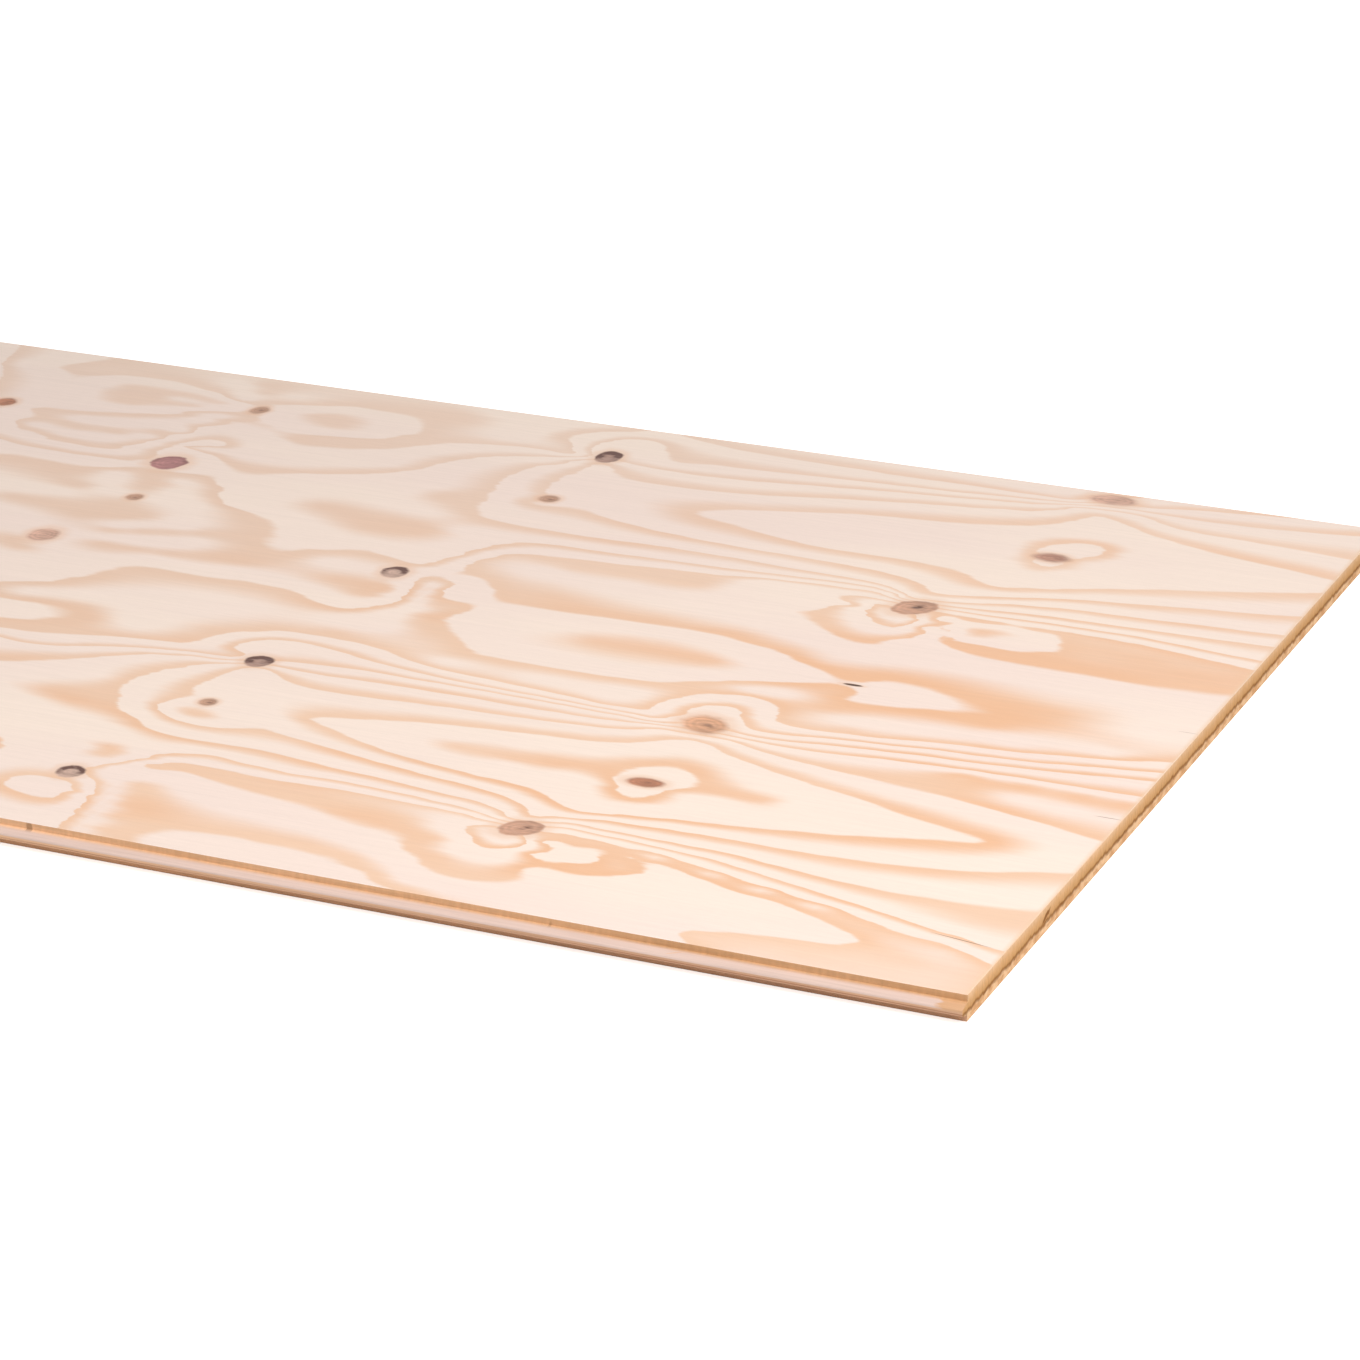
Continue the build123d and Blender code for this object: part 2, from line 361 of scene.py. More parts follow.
GROWTH_LEVELS: tuple[GrowthLevel, ...] = (
    GrowthLevel(7.3, ((-570, 980), (-480, 985), (-380, 990), (-330, 1000), (-200, 1010), (-100, 1015),
        (0, 1022), (-235, 945), (-240, 1085))),
    GrowthLevel(7.85, ((-305, 1010), (-301, 1028), (-282, 1044), (-256, 1053), (-236, 1048),
        (-228, 1032), (-229, 1016), (-292, 968), (-282, 957), (-267, 963))),
    GrowthLevel(7.4, ((-320, 1012), (-314, 1040), (-285, 1060), (-250, 1068), (-218, 1058), (-212, 1030),
        (-218, 1004), (-304, 958), (-282, 943), (-255, 956), (-320, 985), (-235, 985))),
    GrowthLevel(8, ((-296, 1010), (-290, 1024), (-272, 1036), (-254, 1043), (-241, 1037), (-238, 1024),
        (-244, 1012))),
    GrowthLevel(8.2, ((-275, 1012), (-258, 1026), (-280, 975), (-262, 1008), (-252, 1018))),
    GrowthLevel(5.9, ((-835, 935), (-812, 926), (-790, 930))),
    GrowthLevel(5.3, ((-812, 900), (-840, 905), (-760, 895), (-850, 960))),
    GrowthLevel(4.85, ((-925, 915), (-905, 932), (-905, 905), (-888, 925), (-888, 893), (-868, 875))),
    GrowthLevel(4.4, ((-955, 915), (-935, 948), (-935, 882), (-905, 866))),
    GrowthLevel(3.85, ((-710, 1135), (-690, 1138))),
    GrowthLevel(1.85, ((-420, 745), (-402, 724), (-372, 704), (-348, 712))),
    GrowthLevel(1.85, ((-150, 770), (-100, 755), (-50, 740), (0, 733), (-170, 745), (-230, 716),
        (-150, 718), (-80, 715))),
    GrowthLevel(1.3, ((-402, 778), (-386, 744), (-362, 728), (-340, 736))),
    GrowthLevel(0.75, ((-385, 788), (-380, 770), (-368, 757), (-354, 750), (-343, 757))),
    GrowthLevel(0.3, ((-370, 776), (-356, 764), (-346, 772), (-376, 788))),
    GrowthLevel(2.35, ((-240, 755), (-215, 765), (-225, 745))),
    GrowthLevel(2.75, ((-280, 768), (-264, 770), (-270, 758))),
    GrowthLevel(2.6, ((-252, 775), (-278, 750))),
    GrowthLevel(2.22, ((-515, 800), (-490, 798), (-460, 793), (-440, 786), (-520, 780))),
    GrowthLevel(2.15, ((-319, 780), (-318, 755), (-315, 735), (-311, 712), (-318, 695))),
    GrowthLevel(1.85, ((-308, 775), (-301, 758), (-294, 738), (-280, 722))),
    GrowthLevel(2.3, ((-560, 740), (-480, 745), (-480, 705), (-420, 682), (-300, 672), (-200, 665),
        (-100, 660), (0, 662), (-640, 745), (-720, 752), (-335, 662), (-310, 700))),
    GrowthLevel(2.6, ((-700, 722), (-640, 704), (-560, 692), (-480, 682), (-420, 662), (-372, 634))),
    GrowthLevel(2.85, ((-740, 692), (-715, 672), (-690, 690), (-640, 672), (-560, 672), (-480, 665),
        (-420, 646))),
    GrowthLevel(3.35, ((-650, 610), (-600, 630), (-520, 635), (-450, 610), (-420, 590), (-500, 550),
        (-600, 545), (-680, 560), (-400, 588), (-700, 620))),
    GrowthLevel(3.8, ((-600, 594), (-550, 588), (-500, 588), (-470, 592))),
    GrowthLevel(2.75, ((-700, 506), (-640, 502), (-560, 503), (-500, 508), (-450, 527), (-400, 555),
        (-770, 600), (-778, 570), (-755, 545), (-730, 530), (-786, 622), (-782, 592), (-768, 562))),
    GrowthLevel(2.3, ((-808, 676), (-807, 664), (-805, 652), (-803, 640), (-801, 628), (-801, 616),
        (-803, 604), (-806, 590), (-808, 577), (-803, 562), (-798, 548))),
    GrowthLevel(2.85, ((-820, 676), (-818, 664), (-816, 652), (-814, 640), (-812, 628), (-812, 616),
        (-815, 604))),
    GrowthLevel(2.85, ((-775, 781), (-740, 784), (-700, 786), (-660, 787), (-620, 788), (-580, 790),
        (-560, 792), (-600, 774), (-570, 776), (-650, 773), (-700, 772))),
    GrowthLevel(2.8, ((-793, 640), (-775, 630), (-755, 625), (-775, 722), (-752, 712), (-783, 735))),
    GrowthLevel(3.3, ((-780, 672), (-275, 577))),
    GrowthLevel(2.85, ((-230, 545), (-180, 540), (-150, 570), (-200, 605), (-260, 622), (-310, 625),
        (-330, 545), (-326, 522), (-130, 590), (-328, 602), (-329, 572), (-334, 560), (-340, 612))),
    GrowthLevel(2.6, ((-100, 545), (-60, 540), (-90, 612), (-150, 628), (0, 550))),
    GrowthLevel(2.35, ((-40, 590), (0, 610), (-50, 635), (-600, 484), (-700, 490), (-500, 488),
        (-300, 502), (-220, 505), (-150, 510), (-60, 522), (-380, 540), (-410, 535))),
    GrowthLevel(2.8, ((-830, 515), (-900, 505), (-945, 478), (-962, 450), (-760, 498), (-340, 476),
        (-290, 480))),
    GrowthLevel(2.35, ((-850, 550), (-950, 545), (-1010, 500), (-1020, 455), (-1060, 530), (-1110, 510),
        (-1160, 496), (-1030, 475), (-1040, 500))),
    GrowthLevel(2.85, ((-1080, 476), (-1062, 455), (-1110, 479), (-1066, 436), (-1092, 424),
        (-1140, 480), (-1120, 412))),
    GrowthLevel(3.2, ((-1150, 448), (-1175, 448))),
    GrowthLevel(3.35, ((-1120, 686), (-1085, 694), (-1150, 676), (-1090, 672), (-1130, 664),
        (-1170, 668), (-1120, 722), (-1160, 712))),
    GrowthLevel(3.3, ((-1060, 392), (-1100, 388), (-1010, 412))),
    GrowthLevel(6.85, ((-50, 418), (-100, 420), (0, 415), (-160, 422))),
    GrowthLevel(6.4, ((-50, 388), (-100, 392), (0, 380))),
    GrowthLevel(8.3, ((-680, 312), (-640, 297), (-600, 280), (-500, 265), (-450, 255), (-350, 255),
        (-250, 275), (-180, 290), (-250, 312), (-300, 335), (-350, 362), (-450, 362), (-520, 343),
        (-600, 330))),
    GrowthLevel(8.85, ((-600, 307), (-560, 306), (-520, 307), (-480, 312), (-450, 322), (-430, 336),
        (-402, 349), (-385, 346), (-362, 326), (-345, 312), (-322, 304), (-298, 298), (-350, 297),
        (-355, 320), (-335, 308), (-330, 297), (-540, 297), (-500, 297), (-440, 284), (-432, 266),
        (-410, 252), (-390, 258), (-382, 272))),
    GrowthLevel(8.4, ((-480, 336), (-540, 326), (-600, 319), (-480, 285), (-540, 284), (-366, 278),
        (-330, 284), (-275, 297), (-315, 322), (-338, 342), (-430, 356), (-448, 278), (-440, 252),
        (-410, 240), (-380, 250))),
    GrowthLevel(7.8, ((-860, 288), (-850, 276), (-836, 280))),
    GrowthLevel(5.85, ((-1000, 280), (-970, 290), (-970, 264), (-945, 277), (-922, 254), (-890, 236),
        (-875, 168), (-878, 178), (-872, 160))),
    GrowthLevel(5.35, ((-985, 325), (-1030, 302), (-1058, 275), (-1000, 246), (-940, 230), (-890, 214),
        (-950, 180), (-930, 120), (-900, 168), (-852, 178), (-875, 195), (-879, 146), (-1010, 200))),
    GrowthLevel(6, ((-868, 92), (-861, 75), (-866, 58), (-890, 55), (-918, 66))),
    GrowthLevel(6.2, ((-885, 75), (-905, 78))),
    GrowthLevel(5.8, ((-857, 92), (-851, 73), (-858, 50), (-890, 45), (-922, 56))),
    GrowthLevel(5.4, ((-845, 50), (-870, 30), (-844, 84))),
    GrowthLevel(4.9, ((-840, 90), (-836, 76), (-832, 62), (-829, 48), (-826, 34), (-824, 20),
        (-822, 4))),
    GrowthLevel(4.4, ((-834, 104), (-829, 90), (-825, 76), (-821, 62), (-818, 48), (-815, 34),
        (-812, 20), (-809, 4))),
    GrowthLevel(4.25, ((-815, 132), (-830, 124), (-800, 134), (-840, 116), (-780, 132))),
    GrowthLevel(3.88, ((-820, 157), (-802, 162), (-786, 162))),
    GrowthLevel(3.85, ((-650, 150), (-600, 145), (-560, 135), (-520, 110), (-500, 75), (-460, 55),
        (-435, 75), (-700, 148), (-760, 160))),
    GrowthLevel(3.3, ((-515, 128), (-490, 92), (-455, 88))),
    GrowthLevel(2.75, ((-492, 150), (-490, 130), (-480, 118), (-466, 114), (-454, 122))),
    GrowthLevel(2.3, ((-478, 134), (-466, 126), (-456, 134), (-484, 148))),
    GrowthLevel(3.8, ((-362, 118), (-345, 112), (-385, 102), (-368, 128))),
    GrowthLevel(3.45, ((-330, 147), (-275, 134), (-225, 122), (-175, 108))),
    GrowthLevel(4.25, ((-700, 100), (-640, 92), (-590, 80), (-500, 22), (-400, 30), (-350, 60),
        (-250, 85), (-200, 60), (-300, 40), (-320, 100), (-320, 70), (-395, 122), (-760, 115),
        (-150, 58), (-200, 80))),
    GrowthLevel(4.85, ((-740, 50), (-680, 56), (-620, 56), (-570, 46), (-530, 24), (-490, 4), (-770, 25),
        (-812, 112), (-807, 100), (-804, 84), (-792, 84), (-800, 68), (-760, 66), (-796, 42),
        (-790, 12))),
    GrowthLevel(5.3, ((-650, 12),)),
    GrowthLevel(3.75, ((-200, 12), (-150, 16), (-90, 30), (-85, 55), (-90, 80), (-60, 40))),
    GrowthLevel(3.68, ((-40, 70), (-30, 20), (-20, 50), (-90, 4), (-150, -2), (-200, -6))),
    GrowthLevel(4.15, ((-262, 14), (-250, -6))),
    GrowthLevel(4.3, ((-45, 88),)),
    GrowthLevel(5.8, ((-60, 145), (-20, 140), (-90, 150))),
    GrowthLevel(4.35, ((-850, 830), (-850, 780), (-900, 760), (-960, 765), (-1030, 800), (-1070, 850),
        (-960, 880), (-1000, 905), (-940, 950))),
    GrowthLevel(4.85, ((-1020, 838), (-980, 832), (-940, 830), (-900, 832), (-900, 800), (-950, 800),
        (-880, 818))),
    GrowthLevel(3.85, ((-1060, 755), (-1080, 772), (-1050, 740), (-1062, 727), (-1090, 716),
        (-1120, 706), (-1150, 698), (-1180, 688), (-1050, 654), (-1090, 648), (-1130, 645), (-1170, 647),
        (-1010, 652), (-1000, 675), (-1040, 672), (-970, 690), (-905, 648), (-880, 652), (-870, 638),
        (-850, 630), (-846, 650), (-842, 640), (-852, 620), (-925, 722))),
    GrowthLevel(3.3, ((-1140, 790), (-1130, 745), (-930, 690), (-1000, 632), (-900, 612), (-1100, 630),
        (-1020, 990), (-1100, 960), (-1200, 960), (-1230, 960))),
    GrowthLevel(2.8, ((-1020, 1130), (-1000, 1160), (-1030, 1182), (-1080, 1178), (-1140, 1172),
        (-1010, 1100), (-1040, 1066), (-1110, 1036), (-897, 1146), (-884, 1134), (-870, 1122),
        (-893, 1162), (-880, 1177), (-862, 1189))),
    GrowthLevel(2.3, ((-950, 1150), (-930, 1185), (-930, 1125), (-980, 1200), (-920, 1150), (-912, 1172),
        (-890, 1197))),
    GrowthLevel(3.25, ((-860, 1150), (-853, 1164), (-858, 1132))),
    GrowthLevel(3.35, ((-1090, 1100), (-1100, 1125), (-1180, 1120), (-1080, 1080))),
    GrowthLevel(3.85, ((-1140, 1105), (-1150, 1090), (-1130, 1095), (-1170, 1110), (-1125, 1108),
        (-1128, 1082), (-1155, 1115))),
    GrowthLevel(3.25, ((-1300, 1124), (-1345, 1137), (-1400, 1140), (-1442, 1115), (-1442, 1080),
        (-1428, 1050), (-1390, 1046), (-1350, 1060), (-1312, 1074), (-1286, 1088), (-1480, 1050),
        (-1490, 1085), (-1510, 1110), (-1560, 1150), (-1540, 1180))),
    GrowthLevel(2.8, ((-1480, 1150), (-1450, 1172), (-1400, 1178), (-1350, 1168), (-1310, 1150))),
    GrowthLevel(2.3, ((-1281, 1150), (-1296, 1172), (-1268, 1128))),
    GrowthLevel(3.4, ((-1340, 1100), (-1315, 1099), (-1290, 1097))),
    GrowthLevel(3.85, ((-1400, 1105), (-1360, 1100), (-1390, 1080), (-1412, 1118), (-1418, 1092),
        (-1402, 1068), (-1370, 1118), (-1360, 1085), (-1372, 1066), (-1340, 1116), (-1315, 1113),
        (-1288, 1106), (-1335, 1084), (-1310, 1084), (-1290, 1086))),
    GrowthLevel(3.3, ((-1360, 905), (-1310, 905), (-1410, 912))),
    GrowthLevel(3.85, ((-1350, 842), (-1330, 822), (-1300, 803), (-1278, 797), (-1298, 840),
        (-1240, 850), (-1228, 830), (-1215, 812), (-1220, 850), (-1206, 835))),
    GrowthLevel(3.85, ((-1215, 766), (-1190, 755), (-1165, 740), (-1190, 724), (-1230, 714),
        (-1250, 745), (-1290, 740), (-1330, 738), (-1225, 737))),
    GrowthLevel(3.3, ((-1264, 848), (-1258, 824), (-1250, 798), (-1188, 850), (-1180, 820), (-1168, 788),
        (-1295, 774), (-1330, 766), (-1300, 700), (-1180, 700))),
    GrowthLevel(3.85, ((-1271, 930), (-1267, 957), (-1248, 986), (-1222, 995), (-1202, 976),
        (-1200, 944), (-1258, 628), (-1250, 612), (-1234, 606))),
    GrowthLevel(4.25, ((-1237, 945), (-1235, 964), (-1225, 932))),
    GrowthLevel(3.35, ((-1258, 1006), (-1216, 1014), (-1185, 985), (-1182, 950))),
    GrowthLevel(2.85, ((-1250, 1130), (-1262, 1160), (-1275, 1185))),
    GrowthLevel(2.4, ((-1225, 1160), (-1305, 1185))),
    GrowthLevel(3.4, ((-1275, 600), (-1237, 588), (-1285, 650), (-1236, 632), (-1208, 618), (-1198, 660),
        (-1268, 690))),
)


@dataclass
class FaceFigure:
    """The rings and knots of a face veneer, as fields over the sheet.

    Over the far part of the face the figure goes on with itself, turned half round.

    Attributes:
        right_end: x of the end that the places are measured from, in metres.
        shoulder: y of the tongue's shoulder, in metres.
        width: width of the face, in mm.
        turn_about: x about which the figure is turned to go on over the far part, in mm.
        far_corner: x at which the far part begins along the groove edge, in mm.
        far_lean: how far that border moves along for each mm across.
        join: width of the strip in which the two parts run together, in mm.
        line_step: spacing of the points taken along a line, in mm.
        merge: width of a square in which all points count as one, in mm.
        along_scale: share by which distances along the grain count less than those across it.
        softness: distance over which the surface is rounded at a point, in mm.
        easing: how freely the surface may miss a point.
        batch: how many places are worked out at a time.
        slope_step: distance over which a slope is measured, in mm.
        knot_reach: how far round a knot its own place is kept, in its half sizes.
        knot_span: how far round a knot it is kept at least, in mm.
        places: the points that the ring surface goes through, in mm.
        weights: the weight of each point, and last the surface's own level.
        knots: the knots of the whole face.
    """

    right_end: float = HALF_LENGTH
    shoulder: float = SHOULDER
    width: float = 1209.0
    turn_about: float = -1285.0
    far_corner: float = -1637.0
    far_lean: float = 0.624
    join: float = 120.0
    line_step: float = 24.0
    merge: float = 4.0
    along_scale: float = 0.55
    softness: float = 5.0
    easing: float = 1.2
    batch: int = 8000
    slope_step: float = 3.0
    knot_reach: float = 4.0
    knot_span: float = 40.0
    places: np.ndarray = field(init=False)
    weights: np.ndarray = field(init=False)
    knots: list[Knot] = field(init=False)

    def __post_init__(self) -> None:
        """Fit the ring surface and lay out the knots of the whole face."""
        self.places, values = self._samples()
        self.weights = self._fitted(self.places, values)
        fellows = self._turned(np.array([knot.place for knot in KNOTS]))
        far = self._is_far(fellows)
        self.knots = list(KNOTS)
        for knot, place, wanted in zip(KNOTS, fellows, far):
            if wanted:
                self.knots.append(Knot(tuple(place), knot.half_size, knot.kind, knot.tilt))

    def _turned(self, places: np.ndarray) -> np.ndarray:
        """Turn places round to give their fellows on the far part of the face."""
        return np.array([2 * self.turn_about, self.width]) - places

    def _is_far(self, places: np.ndarray) -> np.ndarray:
        """Say which places lie on the far part of the face, clear of the strip before it."""
        border = self.far_corner + self.far_lean * (self.width - places[:, 1])
        return places[:, 0] < border - self.join

    def _along(self, line: GrowthLine) -> list[Point]:
        """Take points along a line.

        Args:
            line: the line.

        Returns:
            The points, in mm.
        """
        points: list[Point] = []
        for start, end in zip(line.points[:-1], line.points[1:]):
            count = max(1, int(math.dist(start, end) // self.line_step))
            for step in range(count):
                share = step / count
                x = start[0] + (end[0] - start[0]) * share
                y = start[1] + (end[1] - start[1]) * share
                points.append((x, y))
        return [*points, line.points[-1]]

    def _samples(self) -> tuple[np.ndarray, np.ndarray]:
        """Take points along the lines and at the levels, and their fellows on the far part.

        Returns:
            The places, in mm, and the ring number at each.
        """
        places: list[Point] = []
        values: list[float] = []
        for line in GROWTH_LINES:
            points = self._along(line)
            places.extend(points)
            values.extend([line.ring] * len(points))
        for level in GROWTH_LEVELS:
            places.extend(level.points)
            values.extend([level.ring] * len(level.points))
        near = np.array(places, float)
        rings = np.array(values, float)
        far = self._turned(near)
        wanted = self._is_far(far)
        joined = np.concatenate([near, far[wanted]])
        rings = np.concatenate([rings, rings[wanted]])
        squares = np.round(joined / self.merge).astype(int)
        first = np.unique(squares, axis=0, return_index=True)[1]
        return joined[first], rings[first]

    def _distance(self, a: np.ndarray, b: np.ndarray) -> np.ndarray:
        """Measure rounded distances between two sets of places, shorter along the grain.

        Args:
            a: first places, in mm.
            b: second places, in mm.

        Returns:
            One row for each first place, one column for each second.
        """
        along = (a[:, None, 0] - b[None, :, 0]) * self.along_scale
        across = a[:, None, 1] - b[None, :, 1]
        return np.sqrt(along * along + across * across + self.softness**2)

    def _fitted(self, places: np.ndarray, values: np.ndarray) -> np.ndarray:
        """Fit the ring surface through the places.

        Args:
            places: where the ring number is known, in mm.
            values: the ring numbers.

        Returns:
            The weight of each place, and last the surface's own level.
        """
        count = len(places)
        system = np.ones((count + 1, count + 1))
        system[:count, :count] = self.easing * np.eye(count) - self._distance(places, places)
        system[count, count] = 0.0
        return np.linalg.solve(system, np.append(values, 0.0))

    def to_face(self, x: np.ndarray, y: np.ndarray) -> np.ndarray:
        """Turn places in the frame, in metres, into places on the face, in mm."""
        return np.stack([(x - self.right_end) / MM, (y - self.shoulder) / MM], axis=1)

    def rings(self, places: np.ndarray) -> np.ndarray:
        """Give the ring number at places on the face.

        Args:
            places: places on the face, in mm.

        Returns:
            The ring number at each place, with its share of the next ring.
        """
        out = np.empty(len(places))
        for start in range(0, len(places), self.batch):
            part = slice(start, start + self.batch)
            out[part] = self.weights[-1] - self._distance(places[part], self.places) @ self.weights[:-1]
        return out

    def slopes(self, places: np.ndarray, rings: np.ndarray) -> np.ndarray:
        """Give how fast the ring number changes at places on the face.

        Args:
            places: places on the face, in mm.
            rings: the ring number at each place.

        Returns:
            The change along and across the grain, in rings per metre, and a third column of zeros.
        """
        along = self.rings(places + np.array([self.slope_step, 0.0])) - rings
        across = self.rings(places + np.array([0.0, self.slope_step])) - rings
        return np.stack([along, across, np.zeros(len(places))], axis=1) / (self.slope_step * MM)

    def near_knots(self, places: np.ndarray) -> tuple[np.ndarray, np.ndarray, np.ndarray]:
        """Find each place's own knot and where the place lies in it.

        Args:
            places: places on the face, in mm.

        Returns:
            The place along and across the knot, in half sizes, with 1 near it and 0 away from it;
            the knot's colour; and its rim, core and softness.
        """
        local = np.zeros((len(places), 3))
        colours = np.zeros((len(places), 3))
        looks = np.zeros((len(places), 3))
        nearest = np.full(len(places), np.inf)
        for knot in self.knots:
            turn = math.radians(knot.tilt)
            away = places - np.array(knot.place)
            along = (away[:, 0] * math.cos(turn) + away[:, 1] * math.sin(turn)) / knot.half_size[0]
            across = (away[:, 1] * math.cos(turn) - away[:, 0] * math.sin(turn)) / knot.half_size[1]
            reach = np.hypot(along, across)
            span = np.hypot(away[:, 0], away[:, 1])
            closer = span < nearest
            nearest[closer] = span[closer]
            near = (reach < self.knot_reach) | (span < self.knot_span)
            local[closer] = np.stack([along, across, near.astype(float)], axis=1)[closer]
            look = knot.kind.value
            colours[closer] = look.colour
            looks[closer] = (look.rim, look.core, look.softness)
        return local, colours, looks


@dataclass(frozen=True)
class Grain:
    """A cloudy value over the piece, usually drawn out along it.

    Attributes:
        per_metre: how many clouds a metre holds along each axis.
        detail: how many finer clouds lie in it.
        shift: moves it to another part of the clouds.
    """

    per_metre: Vector
    detail: float = 2.0
    shift: float = 0.0


@dataclass(frozen=True)
class Ramp:
    """A number that goes smoothly from one level to another as a value rises.

    Attributes:
        low: the value at which the change begins.
        high: the value at which it is done.
        start: the number before it.
        end: the number after it.
    """

    low: float
    high: float
    start: float = 0.0
    end: float = 1.0


class Nodes:
    """A material's node tree, written one small step at a time.

    Attributes:
        MIX_COLOURS: places of the two colours among the inputs of a Mix node.
        MIX_RESULT: place of the mixed colour among its outputs.
        SHIFT_SHARES: how much a grain's shift counts along each axis.
        STREAK_CORE: share of a streak that has its full strength.
    """

    MIX_COLOURS: tuple[int, int] = (6, 7)
    MIX_RESULT: int = 2
    SHIFT_SHARES: Vector = (1.0, 0.7, 1.3)
    STREAK_CORE: float = 0.5

    def __init__(self, name: str) -> None:
        """Start a material that holds only a shader and its output.

        Args:
            name: the material's name.
        """
        self.material = bpy.data.materials.new(name)
        self.material.use_nodes = True
        self.tree = self.material.node_tree
        self.shader = self.tree.nodes["Principled BSDF"]

    def node(self, kind: str) -> bpy.types.Node:
        """Add a node of a kind."""
        return self.tree.nodes.new(kind)

    def feed(self, socket: Socket, value: Socket | float | Colour) -> None:
        """Link a socket to another, or set its value.

        Args:
            socket: the socket that takes it.
            value: another node's socket, a number, or a colour or vector.
        """
        if isinstance(value, Socket):
            self.tree.links.new(value, socket)
        elif isinstance(value, tuple) and socket.type == "RGBA":
            socket.default_value = (*value, 1.0)
        else:
            socket.default_value = value

    def surface(self, colour: Socket, roughness: Socket, specular: float) -> None:
        """Give the shader its colour and its shine.

        Args:
            colour: colour of the surface.
            roughness: how rough it is, 0 to 1.
            specular: how much it shines.
        """
        self.feed(self.shader.inputs["Base Color"], colour)
        self.feed(self.shader.inputs["Roughness"], roughness)
        self.feed(self.shader.inputs["Specular IOR Level"], specular)

    def math(self, operation: str, *values: Socket | float) -> Socket:
        """Do one sum.

        Args:
            operation: Blender's name of the sum.
            values: its numbers.

        Returns:
            The result.
        """
        node = self.node("ShaderNodeMath")
        node.operation = operation
        for socket, value in zip(node.inputs, values):
            self.feed(socket, value)
        return node.outputs[0]

    def times(self, first: Socket | float, second: Socket | float) -> Socket:
        """Multiply two numbers."""
        return self.math("MULTIPLY", first, second)

    def minus(self, first: Socket | float, second: Socket | float) -> Socket:
        """Take one number from another."""
        return self.math("SUBTRACT", first, second)

    def length(self, x: Socket, y: Socket) -> Socket:
        """Give the length of a flat vector."""
        return self.math("SQRT", self.math("MULTIPLY_ADD", x, x, self.times(y, y)))

    def ease(
        self, value: Socket, low: Socket | float, high: Socket | float, start: float = 0.0, end: float = 1.0
    ) -> Socket:
        """Go smoothly from one number to another as a value rises.

        Args:
            value: what rises.
            low: the value at which the change begins.
            high: the value at which it is done.
            start: the number before it.
            end: the number after it.

        Returns:
            The number.
        """
        node = self.node("ShaderNodeMapRange")
        node.interpolation_type = "SMOOTHSTEP"
        for socket, number in zip(node.inputs, (value, low, high, start, end)):
            self.feed(socket, number)
        return node.outputs[0]

    def ramp(self, value: Socket, ramp: Ramp) -> Socket:
        """Send a value through a ramp."""
        return self.ease(value, ramp.low, ramp.high, ramp.start, ramp.end)

    def mix(self, share: Socket | float, first: Socket | Colour, second: Socket | Colour) -> Socket:
        """Mix two colours.

        Args:
            share: share of the second colour.
            first: first colour.
            second: second colour.

        Returns:
            The mixed colour.
        """
        node = self.node("ShaderNodeMix")
        node.data_type = "RGBA"
        self.feed(node.inputs[0], share)
        for index, colour in zip(self.MIX_COLOURS, (first, second)):
            self.feed(node.inputs[index], colour)
        return node.outputs[self.MIX_RESULT]

    def brighten(self, colour: Socket, by: Socket) -> Socket:
        """Multiply a colour by a number.

        Args:
            colour: the colour.
            by: the number.

        Returns:
            The brighter or darker colour.
        """
        node = self.node("ShaderNodeVectorMath")
        node.operation = "SCALE"
        self.feed(node.inputs[0], colour)
        self.feed(node.inputs["Scale"], by)
        return node.outputs[0]

    def place(self) -> Socket:
        """Give the place on the piece, in metres."""
        return self.node("ShaderNodeTexCoord").outputs["Object"]

    def own(self, name: str, output: str) -> Socket:
        """Read a value that the mesh carries at its points.

        Args:
            name: name of the value.
            output: name of the node's output that gives it.

        Returns:
            The value.
        """
        node = self.node("ShaderNodeAttribute")
        node.attribute_name = name
        return node.outputs[output]

    def parts(self, vector: Socket) -> tuple[Socket, Socket, Socket]:
        """Take a vector apart.

        Args:
            vector: the vector.

        Returns:
            Its parts along X, Y and Z.
        """
        node = self.node("ShaderNodeSeparateXYZ")
        self.feed(node.inputs[0], vector)
        return tuple(node.outputs)

    def vector(self, x: Socket, y: Socket, z: Socket) -> Socket:
        """Put a vector together.

        Args:
            x: its part along X.
            y: its part along Y.
            z: its part along Z.

        Returns:
            The vector.
        """
        node = self.node("ShaderNodeCombineXYZ")
        for socket, value in zip(node.inputs, (x, y, z)):
            self.feed(socket, value)
        return node.outputs[0]

    def from_end(self, along: Socket) -> Socket:
        """Give the distance from the nearer end of the sheet, in metres."""
        return self.minus(HALF_LENGTH, self.math("ABSOLUTE", along))

    def grain(self, place: Socket, grain: Grain) -> Socket:
        """Make a cloudy value.

        Args:
            place: where it is read.
            grain: how the clouds lie.

        Returns:
            A value about 0.5.
        """
        mapping = self.node("ShaderNodeMapping")
        self.feed(mapping.inputs["Vector"], place)
        mapping.inputs["Location"].default_value = [grain.shift * share for share in self.SHIFT_SHARES]
        mapping.inputs["Scale"].default_value = grain.per_metre
        noise = self.node("ShaderNodeTexNoise")
        self.feed(noise.inputs["Vector"], mapping.outputs[0])
        noise.inputs["Scale"].default_value = 1.0
        noise.inputs["Detail"].default_value = grain.detail
        return noise.outputs[0]

    def about(self, cloud: Socket, middle: float, swing: float) -> Socket:
        """Turn a cloudy value into one that swings about a middle."""
        centred = self.minus(cloud, 0.5)
        return self.math("MULTIPLY_ADD", centred, swing * 2, middle)

